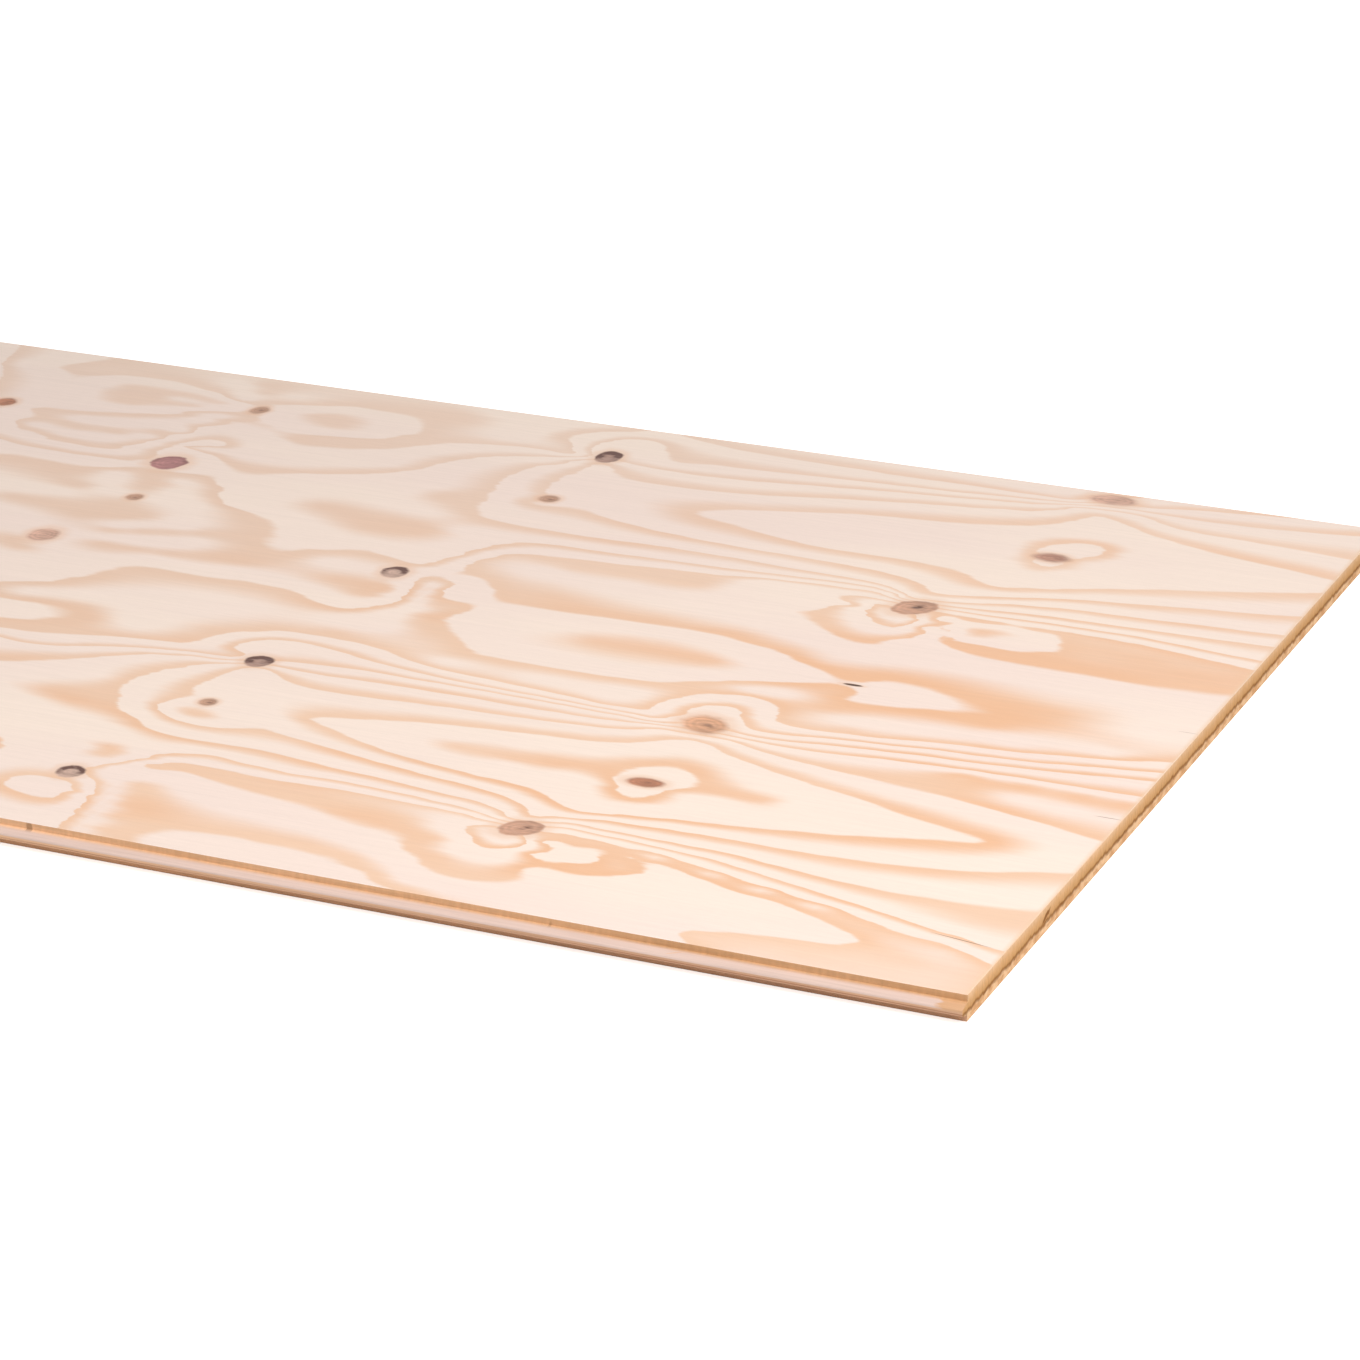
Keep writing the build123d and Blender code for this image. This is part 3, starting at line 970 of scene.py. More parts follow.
    def streak(self, place: Socket, streak: Streak) -> Socket:
        """Find a thin mark on the surface.

        Args:
            place: where it is read.
            streak: the mark.

        Returns:
            The mark's strength in it, and 0 away from it.
        """
        mapping = self.node("ShaderNodeMapping")
        mapping.vector_type = "TEXTURE"
        self.feed(mapping.inputs["Vector"], place)
        mapping.inputs["Location"].default_value = streak.place
        mapping.inputs["Rotation"].default_value = [math.radians(angle) for angle in streak.turn]
        mapping.inputs["Scale"].default_value = streak.half_size
        reach = self.node("ShaderNodeVectorMath")
        reach.operation = "LENGTH"
        self.feed(reach.inputs[0], mapping.outputs[0])
        return self.ease(reach.outputs["Value"], self.STREAK_CORE, 1.0, streak.strength, 0.0)

    def relief(self, height: Socket, depth: float) -> None:
        """Give the surface a fine relief.

        Args:
            height: height, 0 to 1.
            depth: height of 1, in metres.
        """
        bump = self.node("ShaderNodeBump")
        bump.inputs["Distance"].default_value = depth
        self.feed(bump.inputs["Height"], height)
        self.feed(self.shader.inputs["Normal"], bump.outputs[0])


@dataclass(frozen=True)
class KnotFinish:
    """Knots: fibrous wood with faint rings, a crescent of bark, a pith and a stain round them.

    Attributes:
        bark: crescent of bark along the edge.
        pith: core.
        resin: stain round the knot.
        edge: clouds that make the edge ragged.
        edge_swing: how far they move it, in half sizes.
        away: distance at which places that belong to no knot are set, in half sizes.
        inner: where a sharp knot begins to run out, in half sizes.
        inner_softening: how far softness moves that place.
        outer: where a sharp knot has run out, in half sizes.
        outer_softening: how far softness moves that place.
        fibres: fibres of the wood.
        fibre_swing: how strong they are.
        ring_rate: how close the faint rings lie.
        ring_swing: how strong they are.
        shading: tone along the knot.
        rim_lean: how far the crescent leans along the knot.
        rim_side: share of the knot's edge that the crescent takes.
        rim_depth: how far the crescent comes in from the edge.
        rim_growth: how far a stronger rim comes in.
        blotches: clouds that break the crescent up.
        blotch_ramp: how strong they are.
        pith_off: how far the pith lies off the middle, in half sizes.
        pith_flatness: how flat the pith is.
        pith_ramp: where the pith runs out.
        pith_fibres: fibres that show through the pith.
        stain_out: where the stain runs out.
        stain_in: where the stain begins.
    """

    bark: Colour = linear(98, 66, 57)
    pith: Colour = linear(92, 62, 48)
    resin: Colour = linear(236, 190, 156)
    edge: Grain = Grain((55.0, 75.0, 75.0), 3.0, 2.0)
    edge_swing: float = 0.22
    away: float = 10.0
    inner: float = 0.95
    inner_softening: float = -0.45
    outer: float = 1.06
    outer_softening: float = 0.35
    fibres: Grain = Grain((60.0, 260.0, 1.0), 3.0, 4.0)
    fibre_swing: float = 0.45
    ring_rate: float = 21.0
    ring_swing: float = 0.06
    shading: Ramp = Ramp(-1.0, 1.0, 1.10, 0.88)
    rim_lean: float = -0.35
    rim_side: Ramp = Ramp(-0.6, 0.2)
    rim_depth: Ramp = Ramp(0.40, 0.92)
    rim_growth: float = 0.3
    blotches: Grain = Grain((75.0, 120.0, 1.0), 2.0, 13.0)
    blotch_ramp: Ramp = Ramp(0.38, 0.62, 0.45, 1.25)
    pith_off: float = 0.2
    pith_flatness: float = 1.25
    pith_ramp: Ramp = Ramp(0.12, 0.42, 1.0, 0.0)
    pith_fibres: Ramp = Ramp(0.70, 0.45)
    stain_out: Ramp = Ramp(1.0, 1.9, 0.45, 0.0)
    stain_in: Ramp = Ramp(0.5, 0.9)

    def over(self, n: Nodes, place: Socket, wood: Socket) -> tuple[Socket, Socket]:
        """Lay the knots over the wood.

        Args:
            n: the material's nodes.
            place: place on the sheet.
            wood: colour of the wood.

        Returns:
            The colour with its knots, and 1 in a knot's own wood.
        """
        along, across, near = n.parts(n.own("knot_place", "Vector"))
        rim, core, softness = n.parts(n.own("knot_look", "Vector"))
        ragged = n.about(n.grain(place, self.edge), 1.0, self.edge_swing)
        away = n.times(n.minus(1.0, near), self.away)
        edge = n.math("MULTIPLY_ADD", n.length(along, across), ragged, away)
        inner = n.math("MULTIPLY_ADD", softness, self.inner_softening, self.inner)
        outer = n.math("MULTIPLY_ADD", softness, self.outer_softening, self.outer)
        body = n.ease(edge, inner, outer, 1.0, 0.0)
        fibres = n.grain(place, self.fibres)
        own = self._wood(n, along, edge, fibres)
        own = n.mix(self._rim(n, place, (along, across), edge, rim), own, self.bark)
        off = n.length(n.minus(along, self.pith_off), n.times(across, self.pith_flatness))
        pith = n.times(n.ramp(off, self.pith_ramp), n.ramp(fibres, self.pith_fibres))
        own = n.mix(n.times(pith, core), own, self.pith)
        stain = n.times(n.ramp(edge, self.stain_out), n.ramp(edge, self.stain_in))
        return n.mix(body, n.mix(stain, wood, self.resin), own), body

    def _wood(self, n: Nodes, along: Socket, edge: Socket, fibres: Socket) -> Socket:
        """Colour a knot's own wood, with its fibres and faint rings.

        Args:
            n: the material's nodes.
            along: place along the knot, in half sizes.
            edge: how far out in the knot a place lies, in half sizes.
            fibres: the fibres.

        Returns:
            The colour.
        """
        rings = n.times(n.math("SINE", n.times(edge, self.ring_rate)), self.ring_swing)
        tone = n.math("ADD", n.about(fibres, 1.0, self.fibre_swing), rings)
        tone = n.times(tone, n.ramp(along, self.shading))
        return n.brighten(n.own("knot_colour", "Vector"), tone)

    def _rim(
        self, n: Nodes, place: Socket, local: tuple[Socket, Socket], edge: Socket, rim: Socket
    ) -> Socket:
        """Find the crescent of bark.

        Args:
            n: the material's nodes.
            place: place on the sheet.
            local: place along and across the knot, in half sizes.
            edge: how far out in the knot a place lies, in half sizes.
            rim: how dark and wide the crescent is, 0 to 2.

        Returns:
            The crescent's strength.
        """
        sideways = n.math("MULTIPLY_ADD", local[0], self.rim_lean, local[1])
        inward = n.math("MULTIPLY_ADD", n.minus(rim, 1.0), self.rim_growth, edge)
        crescent = n.times(n.ramp(sideways, self.rim_side), n.ramp(inward, self.rim_depth))
        blotches = n.ramp(n.grain(place, self.blotches), self.blotch_ramp)
        return n.times(n.times(crescent, rim), blotches)


@dataclass(frozen=True)
class VeneerFinish:
    """Bare rotary-cut veneer: pale earlywood, tan latewood bands, and knots.

    Attributes:
        cream: earlywood.
        cream_pink: earlywood where it is a little pinker.
        pinker: clouds of the pinker earlywood.
        pinker_ramp: how strong they are.
        tan: latewood.
        tan_deep: latewood where it is strongest.
        deeper: clouds of the strongest latewood.
        deeper_ramp: how strong they are.
        tan_grey: latewood towards the far half and the groove, where it is duller.
        duller: how it grows duller, by x less y.
        paler: how the bands grow paler towards the groove, by y.
        crack_shade: painted shade inside the cracks that run in from an end.
        worn: last few millimetres at a sawn end.
        wear: how they run out, by the distance from the end.
        drift: clouds by which a band wanders.
        drift_swing: how far it wanders, in rings.
        feather: clouds by which a band's edge frays along the grain.
        feather_swing: how far it frays, in metres.
        waver: clouds by which a band's edge wavers across the grain.
        waver_swing: how far it wavers, in metres.
        latewood_begins: how a ring's latewood begins, by the share of the ring.
        latewood_ends: how it ends.
        streaks: long streaks.
        streak_swing: how strong they are.
        pores: fine pores.
        pore_swing: how strong they are.
        fibres: fibres in relief.
        fibre_height: their share of the relief.
        band_height: how far latewood stands out, as a share of the relief.
        knot_height: how far knots lie lower, as a share of the relief.
        relief: height of the relief, in metres.
        roughness: from earlywood to latewood.
        knot_polish: how much smoother knots are.
        specular: how much the bare wood shines.
        knots: the knots' finish.
    """

    cream: Colour = linear(250, 231, 217)
    cream_pink: Colour = linear(247, 226, 215)
    pinker: Grain = Grain((1.6, 4.0, 1.0), 3.0, 7.0)
    pinker_ramp: Ramp = Ramp(0.35, 0.65)
    tan: Colour = linear(241, 204, 176)
    tan_deep: Colour = linear(239, 189, 151)
    deeper: Grain = Grain((3.0, 9.0, 1.0), 2.0, 11.0)
    deeper_ramp: Ramp = Ramp(0.35, 0.7)
    tan_grey: Colour = linear(234, 203, 182)
    duller: Ramp = Ramp(-0.2, 0.9, 0.85, 0.0)
    paler: Ramp = Ramp(-0.1, 0.65, 1.0, 0.7)
    crack_shade: Colour = linear(118, 82, 62)
    worn: Colour = linear(240, 205, 172)
    wear: Ramp = Ramp(0.0, 0.005, 0.6, 0.0)
    drift: Grain = Grain((8.0, 36.0, 1.0), 3.0)
    drift_swing: float = 0.04
    feather: Grain = Grain((10.0, 110.0, 1.0), 3.0, 3.0)
    feather_swing: float = 0.006
    waver: Grain = Grain((14.0, 30.0, 1.0), 3.0, 15.0)
    waver_swing: float = 0.004
    latewood_begins: Ramp = Ramp(0.40, 0.90)
    latewood_ends: Ramp = Ramp(0.93, 1.0, 1.0, 0.0)
    streaks: Grain = Grain((7.0, 260.0, 1.0), 3.0, 5.0)
    streak_swing: float = 0.045
    pores: Grain = Grain((90.0, 1800.0, 1.0), 2.0, 9.0)
    pore_swing: float = 0.05
    fibres: Grain = Grain((35.0, 1400.0, 1.0))
    fibre_height: float = 0.6
    band_height: float = 0.5
    knot_height: float = 0.4
    relief: float = 0.00012
    roughness: Ramp = Ramp(0.0, 1.0, 0.68, 0.58)
    knot_polish: float = 0.12
    specular: float = 0.25
    knots: KnotFinish = KnotFinish()

    def material(self) -> bpy.types.Material:
        """Write the finish as a material.

        Returns:
            The material.
        """
        n = Nodes("face_veneer")
        place = n.place()
        band = self._bands(n, place)
        colour, knot = self.knots.over(n, place, self._wood(n, place, band))
        colour = n.mix(n.ramp(n.from_end(n.parts(place)[0]), self.wear), colour, self.worn)
        # painted shade inside the end cracks
        for crack_shade in SHADED_END_CRACKS:
            colour = n.mix(n.streak(place, crack_shade), colour, self.crack_shade)
        rough = n.minus(n.ramp(band, self.roughness), n.times(knot, self.knot_polish))
        n.surface(colour, rough, self.specular)
        fibres = n.times(n.grain(place, self.fibres), self.fibre_height)
        height = n.math("MULTIPLY_ADD", band, self.band_height, fibres)
        n.relief(n.minus(height, n.times(knot, self.knot_height)), self.relief)
        return n.material

    def _bands(self, n: Nodes, place: Socket) -> Socket:
        """Draw the latewood bands: soft where a ring's latewood begins, sharp where the ring ends.

        Args:
            n: the material's nodes.
            place: place on the sheet.

        Returns:
            0 in earlywood to 1 in latewood.
        """
        ring = n.about(n.grain(place, self.drift), 0.0, self.drift_swing)
        ring = n.math("ADD", n.own("ring_phase", "Fac"), ring)
        along, across, _ = n.parts(n.own("ring_slope", "Vector"))
        feather = n.about(n.grain(place, self.feather), 0.0, self.feather_swing)
        waver = n.about(n.grain(place, self.waver), 0.0, self.waver_swing)
        ring = n.math("MULTIPLY_ADD", along, feather, ring)
        ring = n.math("MULTIPLY_ADD", across, waver, ring)
        share = n.math("FRACT", ring)
        return n.times(n.ramp(share, self.latewood_begins), n.ramp(share, self.latewood_ends))

    def _wood(self, n: Nodes, place: Socket, band: Socket) -> Socket:
        """Colour the plain wood with its bands and fibres.

        Args:
            n: the material's nodes.
            place: place on the sheet.
            band: latewood, 0 to 1.

        Returns:
            The colour.
        """
        pinker = n.ramp(n.grain(place, self.pinker), self.pinker_ramp)
        cream = n.mix(pinker, self.cream, self.cream_pink)
        deeper = n.ramp(n.grain(place, self.deeper), self.deeper_ramp)
        tan = n.mix(deeper, self.tan, self.tan_deep)
        along, across, _ = n.parts(place)
        tan = n.mix(n.ramp(n.minus(along, across), self.duller), tan, self.tan_grey)
        colour = n.mix(n.times(band, n.ramp(across, self.paler)), cream, tan)
        streaks = n.about(n.grain(place, self.streaks), 1.0, self.streak_swing)
        pores = n.about(n.grain(place, self.pores), 1.0, self.pore_swing)
        return n.brighten(colour, n.times(streaks, pores))


@dataclass(frozen=True)
class EdgeFinish:
    """Milled long edges: streaky plies that lie along the sheet.

    Attributes:
        shoulder: golden brown of the upright shoulders and lips.
        shoulder_light: the same where it is lighter.
        patches: clouds of the lighter wood.
        patch_swing: how strong they are.
        lighter: how much lighter it is along the sheet, by x.
        cutter: fine marks of the cutter.
        cutter_swing: how strong they are.
        tick: short dark marks that cross the shoulder.
        ticks: clouds that place them.
        tick_ramp: how strong they are.
        flank: pale, smooth flanks of the tongue and the groove.
        flank_end: the same close to a sawn end, where the smooth layer is broken off.
        breaks: clouds that make the break ragged.
        break_swing: how far they move it, in metres.
        break_ramp: how it runs out, by the distance from the end.
        flank_foot: heights over which the nose gives way to the upper flank, in metres.
        flank_top: heights over which the flank gives way to the shoulder, in metres.
        scratch: thin scratch on the tongue.
        nose: tip of the tongue.
        nose_light: share of the lighter patches that shows on it.
        seam: thin dark line of glue in the tip.
        seam_height: height of that line, in metres.
        seam_wander: clouds by which it wanders.
        wander_swing: how far it wanders, in metres.
        seam_ramp: how it runs out above and below, in metres.
        seam_shows: clouds by which it comes and goes.
        shows_ramp: how strong it is.
        streaks: streaks along the plies.
        streak_swing: how strong they are.
        relief: their height, in metres.
        roughness: how rough the edge is, 0 to 1.
        roughness_swing: how much that changes with the streaks.
        specular: how much the bare wood shines.
    """

    shoulder: Colour = linear(200, 152, 106)
    shoulder_light: Colour = linear(246, 199, 158)
    patches: Grain = Grain((5.0, 60.0, 60.0), 2.0, 3.0)
    patch_swing: float = 0.5
    lighter: Ramp = Ramp(0.2, 1.15, 0.75, 0.12)
    cutter: Grain = Grain((260.0, 1.0, 40.0), 2.0, 17.0)
    cutter_swing: float = 0.14
    tick: Colour = linear(126, 88, 60)
    ticks: Grain = Grain((75.0, 1.0, 30.0), 1.0, 21.0)
    tick_ramp: Ramp = Ramp(0.69, 0.74, 0.0, 0.5)
    flank: Colour = linear(222, 195, 183)
    flank_end: Colour = linear(214, 168, 130)
    breaks: Grain = Grain((60.0, 300.0, 60.0), 2.0, 4.0)
    break_swing: float = 0.008
    break_ramp: Ramp = Ramp(0.018, 0.023, 1.0, 0.0)
    flank_foot: Ramp = Ramp(0.0124, 0.0132)
    flank_top: Ramp = Ramp(0.0164, 0.0178)
    scratch: Colour = linear(226, 176, 134)
    nose: Colour = linear(206, 162, 131)
    nose_light: float = 0.8
    seam: Colour = linear(168, 112, 84)
    seam_height: float = 0.0106
    seam_wander: Grain = Grain((6.0, 1.0, 1.0), 2.0, 8.0)
    wander_swing: float = 0.0007
    seam_ramp: Ramp = Ramp(0.0002, 0.0008, 1.0, 0.0)
    seam_shows: Grain = Grain((2.5, 1.0, 1.0), 2.0, 24.0)
    shows_ramp: Ramp = Ramp(0.35, 0.60, 0.2, 0.8)
    streaks: Grain = Grain((14.0, 500.0, 700.0), 3.0)
    streak_swing: float = 0.16
    relief: float = 0.00015
    roughness: float = 0.68
    roughness_swing: float = 0.1
    specular: float = 0.25

    def material(self) -> bpy.types.Material:
        """Write the finish as a material.

        Returns:
            The material.
        """
        n = Nodes("milled_edge")
        place = n.place()
        along, _, height = n.parts(place)
        patches = n.about(n.grain(place, self.patches), 0.0, self.patch_swing)
        lighter = n.math("ADD", patches, n.ramp(along, self.lighter))
        nose = n.mix(n.times(lighter, self.nose_light), self.nose, self.shoulder_light)
        body = n.mix(n.ramp(height, self.flank_foot), nose, self._flank(n, place, along))
        body = n.mix(n.ramp(height, self.flank_top), body, self._shoulder(n, place, lighter))
        wander = n.about(n.grain(place, self.seam_wander), 0.0, self.wander_swing)
        off = n.math("ABSOLUTE", n.minus(n.math("ADD", height, wander), self.seam_height))
        shows = n.ramp(n.grain(place, self.seam_shows), self.shows_ramp)
        body = n.mix(n.times(n.ramp(off, self.seam_ramp), shows), body, self.seam)
        streaks = n.grain(place, self.streaks)
        colour = n.brighten(body, n.about(streaks, 1.0, self.streak_swing))
        n.surface(colour, n.about(streaks, self.roughness, self.roughness_swing), self.specular)
        n.relief(streaks, self.relief)
        return n.material

    def _shoulder(self, n: Nodes, place: Socket, lighter: Socket) -> Socket:
        """Colour the upright shoulders and lips, with the marks that cross them.

        Args:
            n: the material's nodes.
            place: place on the sheet.
            lighter: share of the lighter wood.

        Returns:
            The colour.
        """
        colour = n.mix(lighter, self.shoulder, self.shoulder_light)
        colour = n.brighten(colour, n.about(n.grain(place, self.cutter), 1.0, self.cutter_swing))
        return n.mix(n.ramp(n.grain(place, self.ticks), self.tick_ramp), colour, self.tick)

    def _flank(self, n: Nodes, place: Socket, along: Socket) -> Socket:
        """Colour the smooth flanks, with the break at the ends and the scratch.

        Args:
            n: the material's nodes.
            place: place on the sheet.
            along: x of the place.

        Returns:
            The colour.
        """
        ragged = n.about(n.grain(place, self.breaks), 0.0, self.break_swing)
        broken = n.ramp(n.math("ADD", n.from_end(along), ragged), self.break_ramp)
        colour = n.mix(broken, self.flank, self.flank_end)
        return n.mix(n.streak(place, TONGUE_SCRATCH), colour, self.scratch)


@dataclass(frozen=True)
class SawnFinish:
    """Sawn ends: brown end grain above, a ragged dark seam, pale mottled plies below, painted shade in
    chips and a painted contact shadow along the bottom.

    Attributes:
        top: frayed top of the end.
        top_ramp: how it comes in, by height.
        upper: golden upper plies.
        upper_low: the same where they come down to the dark line.
        upper_full: height above which the upper plies have their own colour, in metres.
        lower: pale lower plies.
        lower_dull: the same where they are darker.
        mottle: clouds of the darker wood.
        mottle_ramp: how strong they are.
        seam: ragged dark line at mid thickness.
        seam_height: height of the dark line, in metres.
        seam_blend: half the height over which the plies change at it, in metres.
        seam_ramp: how the line runs out above and below, in metres.
        shaded_chips: clouds that place small chips along it, darkened by painted shade.
        shaded_chip_ramp: how strong that painted shade is.
        shaded_chip_reach: how it runs out above and below, in metres.
        painted_contact_shadow: painted contact shadow, a thin grey-brown line along the bottom.
        contact_shadow_ramp: how it runs out, by height.
        ragged: clouds that make the plies ragged.
        ragged_swing: how far they move them, in metres.
        kerf: saw marks.
        kerf_swing: how strong they are.
        relief: their height, in metres.
        roughness: how rough the end is, 0 to 1.
        roughness_swing: how much that changes with the saw marks.
        specular: how much the bare wood shines.
    """

    top: Colour = linear(242, 200, 160)
    top_ramp: Ramp = Ramp(0.016, 0.0245, 0.0, 0.9)
    upper: Colour = linear(226, 176, 124)
    upper_low: Colour = linear(210, 157, 101)
    upper_full: float = 0.018
    lower: Colour = linear(248, 206, 162)
    lower_dull: Colour = linear(222, 170, 122)
    mottle: Grain = Grain((1.0, 70.0, 160.0), 3.0, 9.0)
    mottle_ramp: Ramp = Ramp(0.38, 0.66)
    seam: Colour = linear(140, 90, 44)
    seam_height: float = 0.0097
    seam_blend: float = 0.0006
    seam_ramp: Ramp = Ramp(0.0004, 0.0030, 0.75, 0.0)
    shaded_chips: Grain = Grain((1.0, 75.0, 300.0), 2.0, 12.0)
    shaded_chip_ramp: Ramp = Ramp(0.60, 0.70)
    shaded_chip_reach: Ramp = Ramp(0.001, 0.004, 0.8, 0.0)
    painted_contact_shadow: Colour = linear(216, 180, 148)
    contact_shadow_ramp: Ramp = Ramp(0.0008, 0.0018, 0.6, 0.0)
    ragged: Grain = Grain((1.0, 110.0, 30.0), 4.0, 2.0)
    ragged_swing: float = 0.0034
    kerf: Grain = Grain((1.0, 420.0, 160.0), 3.0, 6.0)
    kerf_swing: float = 0.2
    relief: float = 0.0004
    roughness: float = 0.8
    roughness_swing: float = 0.1
    specular: float = 0.05

    def material(self) -> bpy.types.Material:
        """Write the finish as a material.

        Returns:
            The material.
        """
        n = Nodes("sawn_end")
        place = n.place()
        x, y, height = n.parts(place)
        level = n.math("ADD", height, n.about(n.grain(place, self.ragged), 0.0, self.ragged_swing))
        body = self._plies(n, place, level)
        off = n.math("ABSOLUTE", n.minus(level, self.seam_height))
        body = n.mix(n.ramp(off, self.seam_ramp), body, self.seam)
        # painted shade in small chips along the dark line
        shaded_chips = n.ramp(n.grain(place, self.shaded_chips), self.shaded_chip_ramp)
        body = n.mix(n.times(shaded_chips, n.ramp(off, self.shaded_chip_reach)), body, self.seam)
        # painted shade inside the chip in the end
        body = n.mix(n.streak(n.vector(x, y, level), SHADED_END_CHIP), body, self.seam)
        # painted contact shadow: the end darkened along its bottom two millimetres
        body = n.mix(n.ramp(height, self.contact_shadow_ramp), body, self.painted_contact_shadow)
        kerf = n.grain(place, self.kerf)
        colour = n.brighten(body, n.about(kerf, 1.0, self.kerf_swing))
        n.surface(colour, n.about(kerf, self.roughness, self.roughness_swing), self.specular)
        n.relief(kerf, self.relief)
        return n.material

    def _plies(self, n: Nodes, place: Socket, level: Socket) -> Socket:
        """Colour the upper and the lower plies.

        Args:
            n: the material's nodes.
            place: place on the sheet.
            level: height of the place among the ragged plies.

        Returns:
            The colour.
        """
        upper = n.mix(n.ease(level, self.seam_height, self.upper_full), self.upper_low, self.upper)
        upper = n.mix(n.ramp(level, self.top_ramp), upper, self.top)
        mottle = n.ramp(n.grain(place, self.mottle), self.mottle_ramp)
        lower = n.mix(mottle, self.lower, self.lower_dull)
        low = self.seam_height - self.seam_blend
        return n.mix(n.ease(level, low, self.seam_height + self.seam_blend), lower, upper)


class Side(Enum):
    """Which finish a part of the sheet's surface takes: its place in the list of materials."""

    FACE = 0
    LONG_EDGE = 1
    END = 2


class Element(Enum):
    """What is picked in edit mode, by Blender's name for it."""

    FACE = "FACE"
    EDGE = "EDGE"


@dataclass
class PlywoodSheet:
    """One sheet of plywood, tongued and grooved, in one closed mesh.

    Attributes:
        length: length, in metres.
        thickness: thickness.
        shoulder: y of the shoulder that the tongue stands on.
        upper_lip: y of the lip over the groove.
        lip_setback: how far the lower lip stands back.
        arris: width taken off the sharp edges of both faces.
        tongue_length: length of the tongue.
        tongue_root: thickness of the tongue at its root.
        tongue_tip: thickness of the tongue at its tip.
        tip_rounding: length taken by the rounding on each side of a tip corner.
        tip_segments: how many flats make that rounding.
        groove_depth: depth of the groove.
        groove_mouth: width of the groove at its mouth.
        groove_bottom: width of the groove at its bottom.
        bottom_rounding: length taken by the rounding in a bottom corner.
        bottom_segments: how many flats make that rounding.
        cuts_along: cuts across the whole sheet along its length.
        cuts_face: cuts of the face across its width.
        cuts_back: cuts of the back across its width.
        smooth_angle: edges flatter than this are shaded smooth, in degrees.
        square: part of a normal along an axis from which a face counts as square to it.
        level: part of a normal along Z from which an arris counts as part of the face or the back.
        piece: the sheet's object.
    """

    length: float = 2 * HALF_LENGTH
    thickness: float = THICKNESS
    shoulder: float = SHOULDER
    upper_lip: float = 0.610
    lip_setback: float = 0.0005
    arris: float = 0.0006
    tongue_length: float = 0.011
    tongue_root: float = 0.0116
    tongue_tip: float = 0.0056
    tip_rounding: float = 0.00128
    tip_segments: int = 4
    groove_depth: float = 0.012
    groove_mouth: float = 0.0122
    groove_bottom: float = 0.00565
    bottom_rounding: float = 0.00061
    bottom_segments: int = 3
    cuts_along: int = 270
    cuts_face: int = 262
    cuts_back: int = 70
    smooth_angle: float = 30.0
    square: float = 0.9
    level: float = 0.6
    piece: bpy.types.Object = field(init=False)

    @property
    def width(self) -> float:
        """Width of the face."""
        return self.upper_lip - self.shoulder

    @property
    def middle(self) -> float:
        """Height of the sheet's middle."""
        return self.thickness / 2

    def build(self) -> bpy.types.Object:
        """Model the sheet.

        Returns:
            The sheet's object.
        """
        bpy.ops.object.select_all(action="DESELECT")
        bpy.ops.mesh.primitive_cube_add(size=1.0)
        self.piece = bpy.context.object
        self.piece.name = "plywood_sheet_dressed"
        bpy.ops.object.mode_set(mode="EDIT")
        bpy.ops.mesh.select_all(action="SELECT")
        bpy.ops.transform.resize(value=(self.length, self.width, self.thickness))
        bpy.ops.transform.translate(value=(0.0, (self.upper_lip + self.shoulder) / 2, self.middle))
        self._tongue()
        self._groove()
        self._ends()
        self._arrises()
        self._divide()
        bpy.ops.object.mode_set(mode="OBJECT")
        bpy.ops.object.shade_smooth_by_angle(angle=math.radians(self.smooth_angle))
        return self.piece

    def _pick(self, element: Element, test: Test) -> None:
        """Select faces or edges by a test, and nothing else.

        Args:
            element: what is picked.
            test: says whether a face or an edge is wanted.
        """
        bpy.ops.mesh.select_mode(type=element.value)
        bpy.ops.mesh.select_all(action="DESELECT")
        mesh = bmesh.from_edit_mesh(self.piece.data)
        mesh.normal_update()
        items = mesh.faces if element is Element.FACE else mesh.edges
        for item in [item for item in items if test(item)]:
            item.select_set(True)
        mesh.select_flush_mode()
        bmesh.update_edit_mesh(self.piece.data)

    def _upright(self, face: bmesh.types.BMFace, y: float) -> bool:
        """Say whether a face stands upright at a place across the sheet."""
        return abs(face.normal.y) > self.square and abs(face.calc_center_median().y - y) < MM

    def _at_height(self, edge: bmesh.types.BMEdge, z: float) -> bool:
        """Say whether an edge lies at a height."""
        return all(abs(vert.co.z - z) < TOUCH for vert in edge.verts)

    def _runs_along(self, edge: bmesh.types.BMEdge) -> bool:
        """Say whether an edge runs along the whole sheet."""
        return abs(edge.verts[0].co.x - edge.verts[1].co.x) > self.length / 2

    def _runs_across(self, edge: bmesh.types.BMEdge) -> bool:
        """Say whether an edge runs across the whole sheet."""
        return abs(edge.verts[0].co.y - edge.verts[1].co.y) > self.width / 2

    def _lengthwise(self, edge: bmesh.types.BMEdge, y: float, low: float, high: float) -> bool:
        """Say whether an edge runs along the sheet at a place across it, between two heights.

        Args:
            edge: the edge.
            y: place across the sheet.
            low: lowest height.
            high: highest height.

        Returns:
            Whether it does.
        """
        place = edge.verts[0].co
        return self._runs_along(edge) and abs(place.y - y) < TOUCH and low < place.z < high

    def _cut(self, y: float, z: float) -> None:
        """Cut the upright face at a place across the sheet in two, at a height."""
        self._pick(Element.FACE, lambda face: self._upright(face, y))
        bpy.ops.mesh.bisect(plane_co=(0.0, y, z), plane_no=(0.0, 0.0, 1.0))

    def _strip(self, face: bmesh.types.BMFace, y: float) -> bool:
        """Say whether a face is the middle strip of the upright face at a place across the sheet."""
        return self._upright(face, y) and abs(face.calc_center_median().z - self.middle) < MM

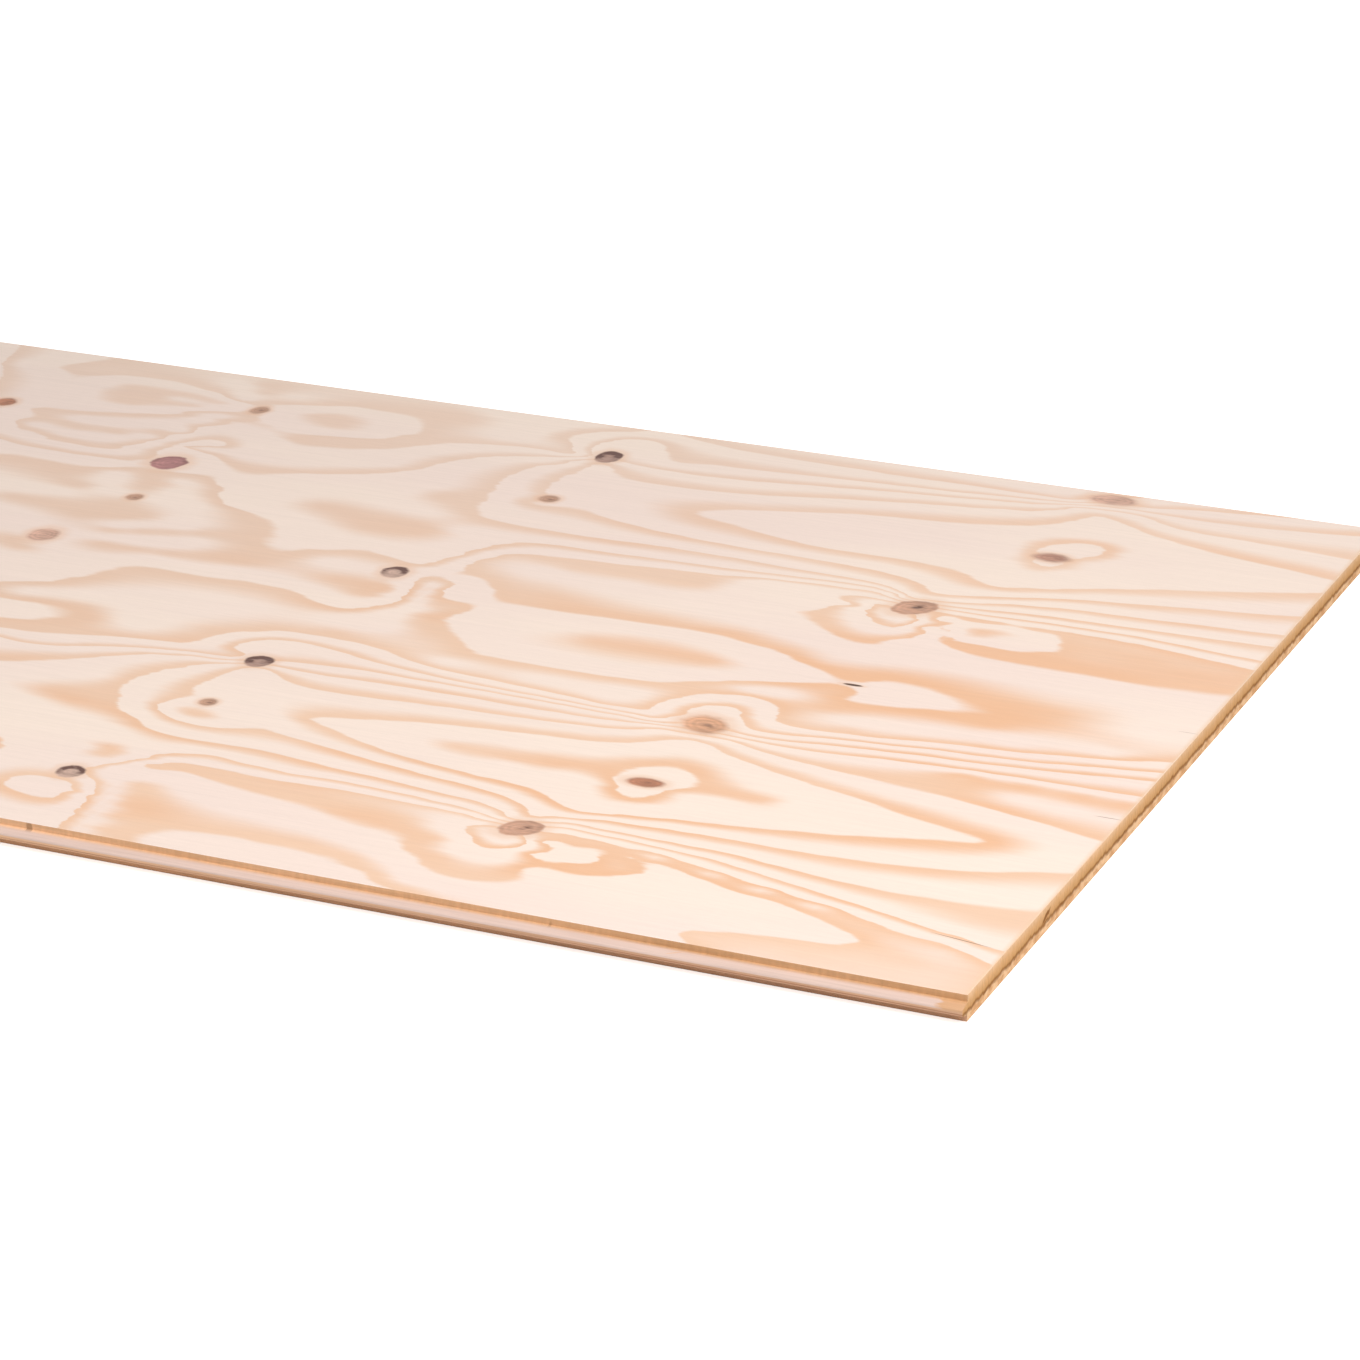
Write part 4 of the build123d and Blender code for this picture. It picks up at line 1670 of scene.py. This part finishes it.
    def _draw_out(self, y: float, by: float, taper: float) -> None:
        """Draw the middle strip of a long edge out or in, and taper it.

        Args:
            y: where the edge stands.
            by: how far the strip moves along Y.
            taper: thickness at its end as a share of that at its root.
        """
        self._pick(Element.FACE, lambda face: self._strip(face, y))
        bpy.ops.mesh.extrude_region_move(TRANSFORM_OT_translate={"value": (0.0, by, 0.0)})
        bpy.ops.transform.resize(value=(1.0, 1.0, taper), center_override=(0.0, y + by, self.middle))

    def _tongue(self) -> None:
        """Draw the tongue out of the near edge and round its tip."""
        self._cut(self.shoulder, self.middle + self.tongue_root / 2)
        self._cut(self.shoulder, self.middle - self.tongue_root / 2)
        self._draw_out(self.shoulder, -self.tongue_length, self.tongue_tip / self.tongue_root)
        tip = self.shoulder - self.tongue_length
        self._pick(Element.EDGE, lambda edge: self._lengthwise(edge, tip, 0.0, self.thickness))
        bpy.ops.mesh.bevel(offset=self.tip_rounding, segments=self.tip_segments, affect="EDGES")

    def _groove(self) -> None:
        """Sink the groove into the far edge, round its bottom and set the lower lip back."""
        lip = self.upper_lip
        self._cut(lip, self.middle + self.groove_mouth / 2)
        self._cut(lip, self.middle - self.groove_mouth / 2)
        self._draw_out(lip, -self.groove_depth, self.groove_bottom / self.groove_mouth)
        bottom = lip - self.groove_depth
        self._pick(Element.EDGE, lambda edge: self._lengthwise(edge, bottom, 0.0, self.thickness))
        bpy.ops.mesh.bevel(offset=self.bottom_rounding, segments=self.bottom_segments, affect="EDGES")
        slope = (self.groove_mouth - self.groove_bottom) / 2 / self.groove_depth
        self._pick(Element.EDGE, lambda edge: self._lengthwise(edge, lip, MM, self.middle))
        bpy.ops.transform.translate(value=(0.0, -self.lip_setback, slope * self.lip_setback))
        self._pick(Element.EDGE, lambda edge: self._lengthwise(edge, lip, -MM, MM))
        bpy.ops.transform.translate(value=(0.0, -self.lip_setback, 0.0))

    def _ends(self) -> None:
        """Saw both ends square: one flat face over the whole section."""
        for x in (-self.length / 2, self.length / 2):
            self._pick(Element.FACE, lambda face: abs(face.calc_center_median().x - x) < TOUCH)
            bpy.ops.mesh.delete(type="ONLY_FACE")
            self._pick(
                Element.EDGE,
                lambda edge: edge.is_boundary and all(abs(vert.co.x - x) < TOUCH for vert in edge.verts),
            )
            bpy.ops.mesh.edge_face_add()
        bpy.ops.mesh.select_all(action="SELECT")
        bpy.ops.mesh.normals_make_consistent(inside=False)

    def _arrises(self) -> None:
        """Take the sharp edges off both faces."""
        self._pick(
            Element.EDGE,
            lambda edge: self._at_height(edge, 0.0) or self._at_height(edge, self.thickness),
        )
        bpy.ops.mesh.bevel(offset=self.arris, segments=1, affect="EDGES")

    def _divide(self) -> None:
        """Divide the face finely enough to carry its figure, and the back more coarsely."""
        self._pick(Element.EDGE, self._runs_along)
        bpy.ops.mesh.subdivide_edgering(number_cuts=self.cuts_along, interpolation="LINEAR", smoothness=0.0)
        for z, cuts in ((self.thickness, self.cuts_face), (0.0, self.cuts_back)):
            self._pick(Element.EDGE, lambda edge: self._at_height(edge, z) and self._runs_across(edge))
            bpy.ops.mesh.subdivide_edgering(number_cuts=cuts, interpolation="LINEAR", smoothness=0.0)

    def dress(self, figure: FaceFigure) -> None:
        """Give the sheet its figure and its finishes.

        Args:
            figure: the figure of the face and, turned over, of the back.
        """
        mesh = self.piece.data
        for finish in (VeneerFinish(), EdgeFinish(), SawnFinish()):
            mesh.materials.append(finish.material())
        self._share_out(mesh)
        places = np.empty(len(mesh.vertices) * 3, np.float32)
        mesh.vertices.foreach_get("co", places)
        x, y, z = places.reshape(-1, 3).T.astype(float)
        back = z < self.middle
        face = figure.to_face(np.where(back, -x, x), np.where(back, self.upper_lip + self.shoulder - y, y))
        local, colours, looks = figure.near_knots(face)
        rings = figure.rings(face)
        self._carry(mesh, "ring_phase", "FLOAT", rings)
        self._carry(mesh, "ring_slope", "FLOAT_VECTOR", figure.slopes(face, rings))
        self._carry(mesh, "knot_place", "FLOAT_VECTOR", local)
        self._carry(mesh, "knot_colour", "FLOAT_VECTOR", colours)
        self._carry(mesh, "knot_look", "FLOAT_VECTOR", looks)

    def _carry(self, mesh: bpy.types.Mesh, name: str, kind: str, values: np.ndarray) -> None:
        """Store a value at each point of the mesh.

        Args:
            mesh: the mesh.
            name: name that the finish reads it by.
            kind: Blender's name of the kind of value.
            values: the values.
        """
        layer = mesh.attributes.new(name, kind, "POINT")
        key = "value" if kind == "FLOAT" else "vector"
        layer.data.foreach_set(key, values.astype(np.float32).ravel())

    def _share_out(self, mesh: bpy.types.Mesh) -> None:
        """Give each part of the surface its own finish, by the way it faces.

        Args:
            mesh: the mesh.
        """
        normals = np.empty(len(mesh.polygons) * 3, np.float32)
        mesh.polygons.foreach_get("normal", normals)
        middles = np.empty(len(mesh.polygons) * 3, np.float32)
        mesh.polygons.foreach_get("center", middles)
        normals = np.abs(normals.reshape(-1, 3))
        heights = middles.reshape(-1, 3)[:, 2]
        outer = (heights < self.arris) | (heights > self.thickness - self.arris)
        sides = np.full(len(normals), Side.LONG_EDGE.value, np.int32)
        sides[normals[:, 0] > self.square] = Side.END.value
        sides[(normals[:, 2] > self.level) & outer] = Side.FACE.value
        mesh.polygons.foreach_set("material_index", sides)


@dataclass
class Studio:
    """Pale floor, soft light and the camera.

    Attributes:
        camera_place: where the camera stands, in metres.
        camera_tilt: how far it looks down from level, in degrees.
        camera_turn: how far it is turned left from along Y, in degrees.
        focal_length: of its lens, in mm.
        picture_width: width of the picture behind the lens, in mm.
        floor_size: width of the floor.
        floor_cuts: parts into which it is divided each way.
        floor_colour: colour of the floor.
        floor_roughness: how rough it is, 0 to 1.
        floor_glow: light that the floor adds where the camera looks at it.
        sky_strength: plain light from all round.
        lamp_place: middle of the big soft lamp.
        lamp_aim: where it points.
        lamp_size: its width.
        lamp_power: its power, in watts.
        lamp_colour: colour of its light.
    """

    camera_place: Vector = (2.2718, -3.5453, 1.4941)
    camera_tilt: float = 21.14
    camera_turn: float = 23.77
    focal_length: float = 116.5
    picture_width: float = 36.0
    floor_size: float = 60.0
    floor_cuts: int = 2
    floor_colour: Colour = (0.9, 0.9, 0.9)
    floor_roughness: float = 0.9
    floor_glow: float = 0.68
    sky_strength: float = 0.37
    lamp_place: Vector = (2.4, -1.7, 3.8)
    lamp_aim: Vector = (0.6, 0.0, 0.0)
    lamp_size: float = 3.5
    lamp_power: float = 169.0
    lamp_colour: Colour = (1.0, 0.99, 0.97)

    def build(self) -> None:
        """Set the floor, the light and the camera up."""
        self._floor()
        self._sky()
        self._lamp()
        self._camera()
        bpy.context.scene.view_settings.view_transform = "Standard"

    def _seen(self, tree: bpy.types.NodeTree) -> Socket:
        """Give 1 where the camera, a reflection or a see-through piece looks at a surface.

        Args:
            tree: the node tree.

        Returns:
            0 or 1.
        """
        path = tree.nodes.new("ShaderNodeLightPath")
        total = path.outputs["Is Camera Ray"]
        for name in ("Is Glossy Ray", "Is Transmission Ray"):
            node = tree.nodes.new("ShaderNodeMath")
            node.operation = "MAXIMUM"
            tree.links.new(total, node.inputs[0])
            tree.links.new(path.outputs[name], node.inputs[1])
            total = node.outputs[0]
        return total

    def _floor(self) -> None:
        """Lay the floor."""
        bpy.ops.object.select_all(action="DESELECT")
        bpy.ops.mesh.primitive_grid_add(
            x_subdivisions=self.floor_cuts, y_subdivisions=self.floor_cuts, size=self.floor_size
        )
        floor = bpy.context.object
        floor.name = "floor"
        n = Nodes("pale_floor")
        n.feed(n.shader.inputs["Base Color"], self.floor_colour)
        n.feed(n.shader.inputs["Roughness"], self.floor_roughness)
        n.feed(n.shader.inputs["Specular IOR Level"], 0.0)
        n.feed(n.shader.inputs["Emission Color"], WHITE)
        n.feed(n.shader.inputs["Emission Strength"], n.times(self._seen(n.tree), self.floor_glow))
        floor.data.materials.append(n.material)

    def _sky(self) -> None:
        """Light the scene evenly from all round, with a white background."""
        world = bpy.data.worlds.new("plain_sky")
        bpy.context.scene.world = world
        world.use_nodes = True
        tree = world.node_tree
        background = tree.nodes["Background"]
        background.inputs["Color"].default_value = (*WHITE, 1.0)
        strength = tree.nodes.new("ShaderNodeMath")
        strength.operation = "MULTIPLY_ADD"
        strength.inputs[1].default_value = 1.0 - self.sky_strength
        strength.inputs[2].default_value = self.sky_strength
        tree.links.new(self._seen(tree), strength.inputs[0])
        tree.links.new(strength.outputs[0], background.inputs["Strength"])

    def _lamp(self) -> None:
        """Hang the big soft lamp."""
        data = bpy.data.lights.new("soft_lamp", "AREA")
        data.shape = "DISK"
        data.size = self.lamp_size
        data.energy = self.lamp_power
        data.color = self.lamp_colour
        lamp = bpy.data.objects.new("soft_lamp", data)
        bpy.context.scene.collection.objects.link(lamp)
        lamp.location = self.lamp_place
        aim = [a - b for a, b in zip(self.lamp_aim, self.lamp_place)]
        level = math.hypot(aim[0], aim[1])
        lamp.rotation_euler = (math.atan2(level, -aim[2]), 0.0, math.atan2(-aim[0], aim[1]))

    def _camera(self) -> None:
        """Stand the camera where the picture is taken from."""
        data = bpy.data.cameras.new("camera")
        data.lens = self.focal_length
        data.sensor_width = self.picture_width
        camera = bpy.data.objects.new("camera", data)
        bpy.context.scene.collection.objects.link(camera)
        camera.location = self.camera_place
        camera.rotation_euler = (math.radians(90 - self.camera_tilt), 0.0, math.radians(self.camera_turn))
        bpy.context.scene.camera = camera


def main() -> None:
    """Build and dress the sheet, set the studio up and note the sizes."""
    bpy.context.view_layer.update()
    sheet = PlywoodSheet()
    piece = sheet.build()
    triangles = sum(len(polygon.vertices) - 2 for polygon in piece.data.polygons)
    log.info("%s modelled, %d triangles", piece.name, triangles)
    figure = FaceFigure()
    sheet.dress(figure)
    log.info("%s dressed, %d knots on its face", piece.name, len(figure.knots))
    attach(piece, "root")
    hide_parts("plywood_sheet")
    Studio().build()
    log.info("studio set up")


if __name__ == "__main__":
    main()
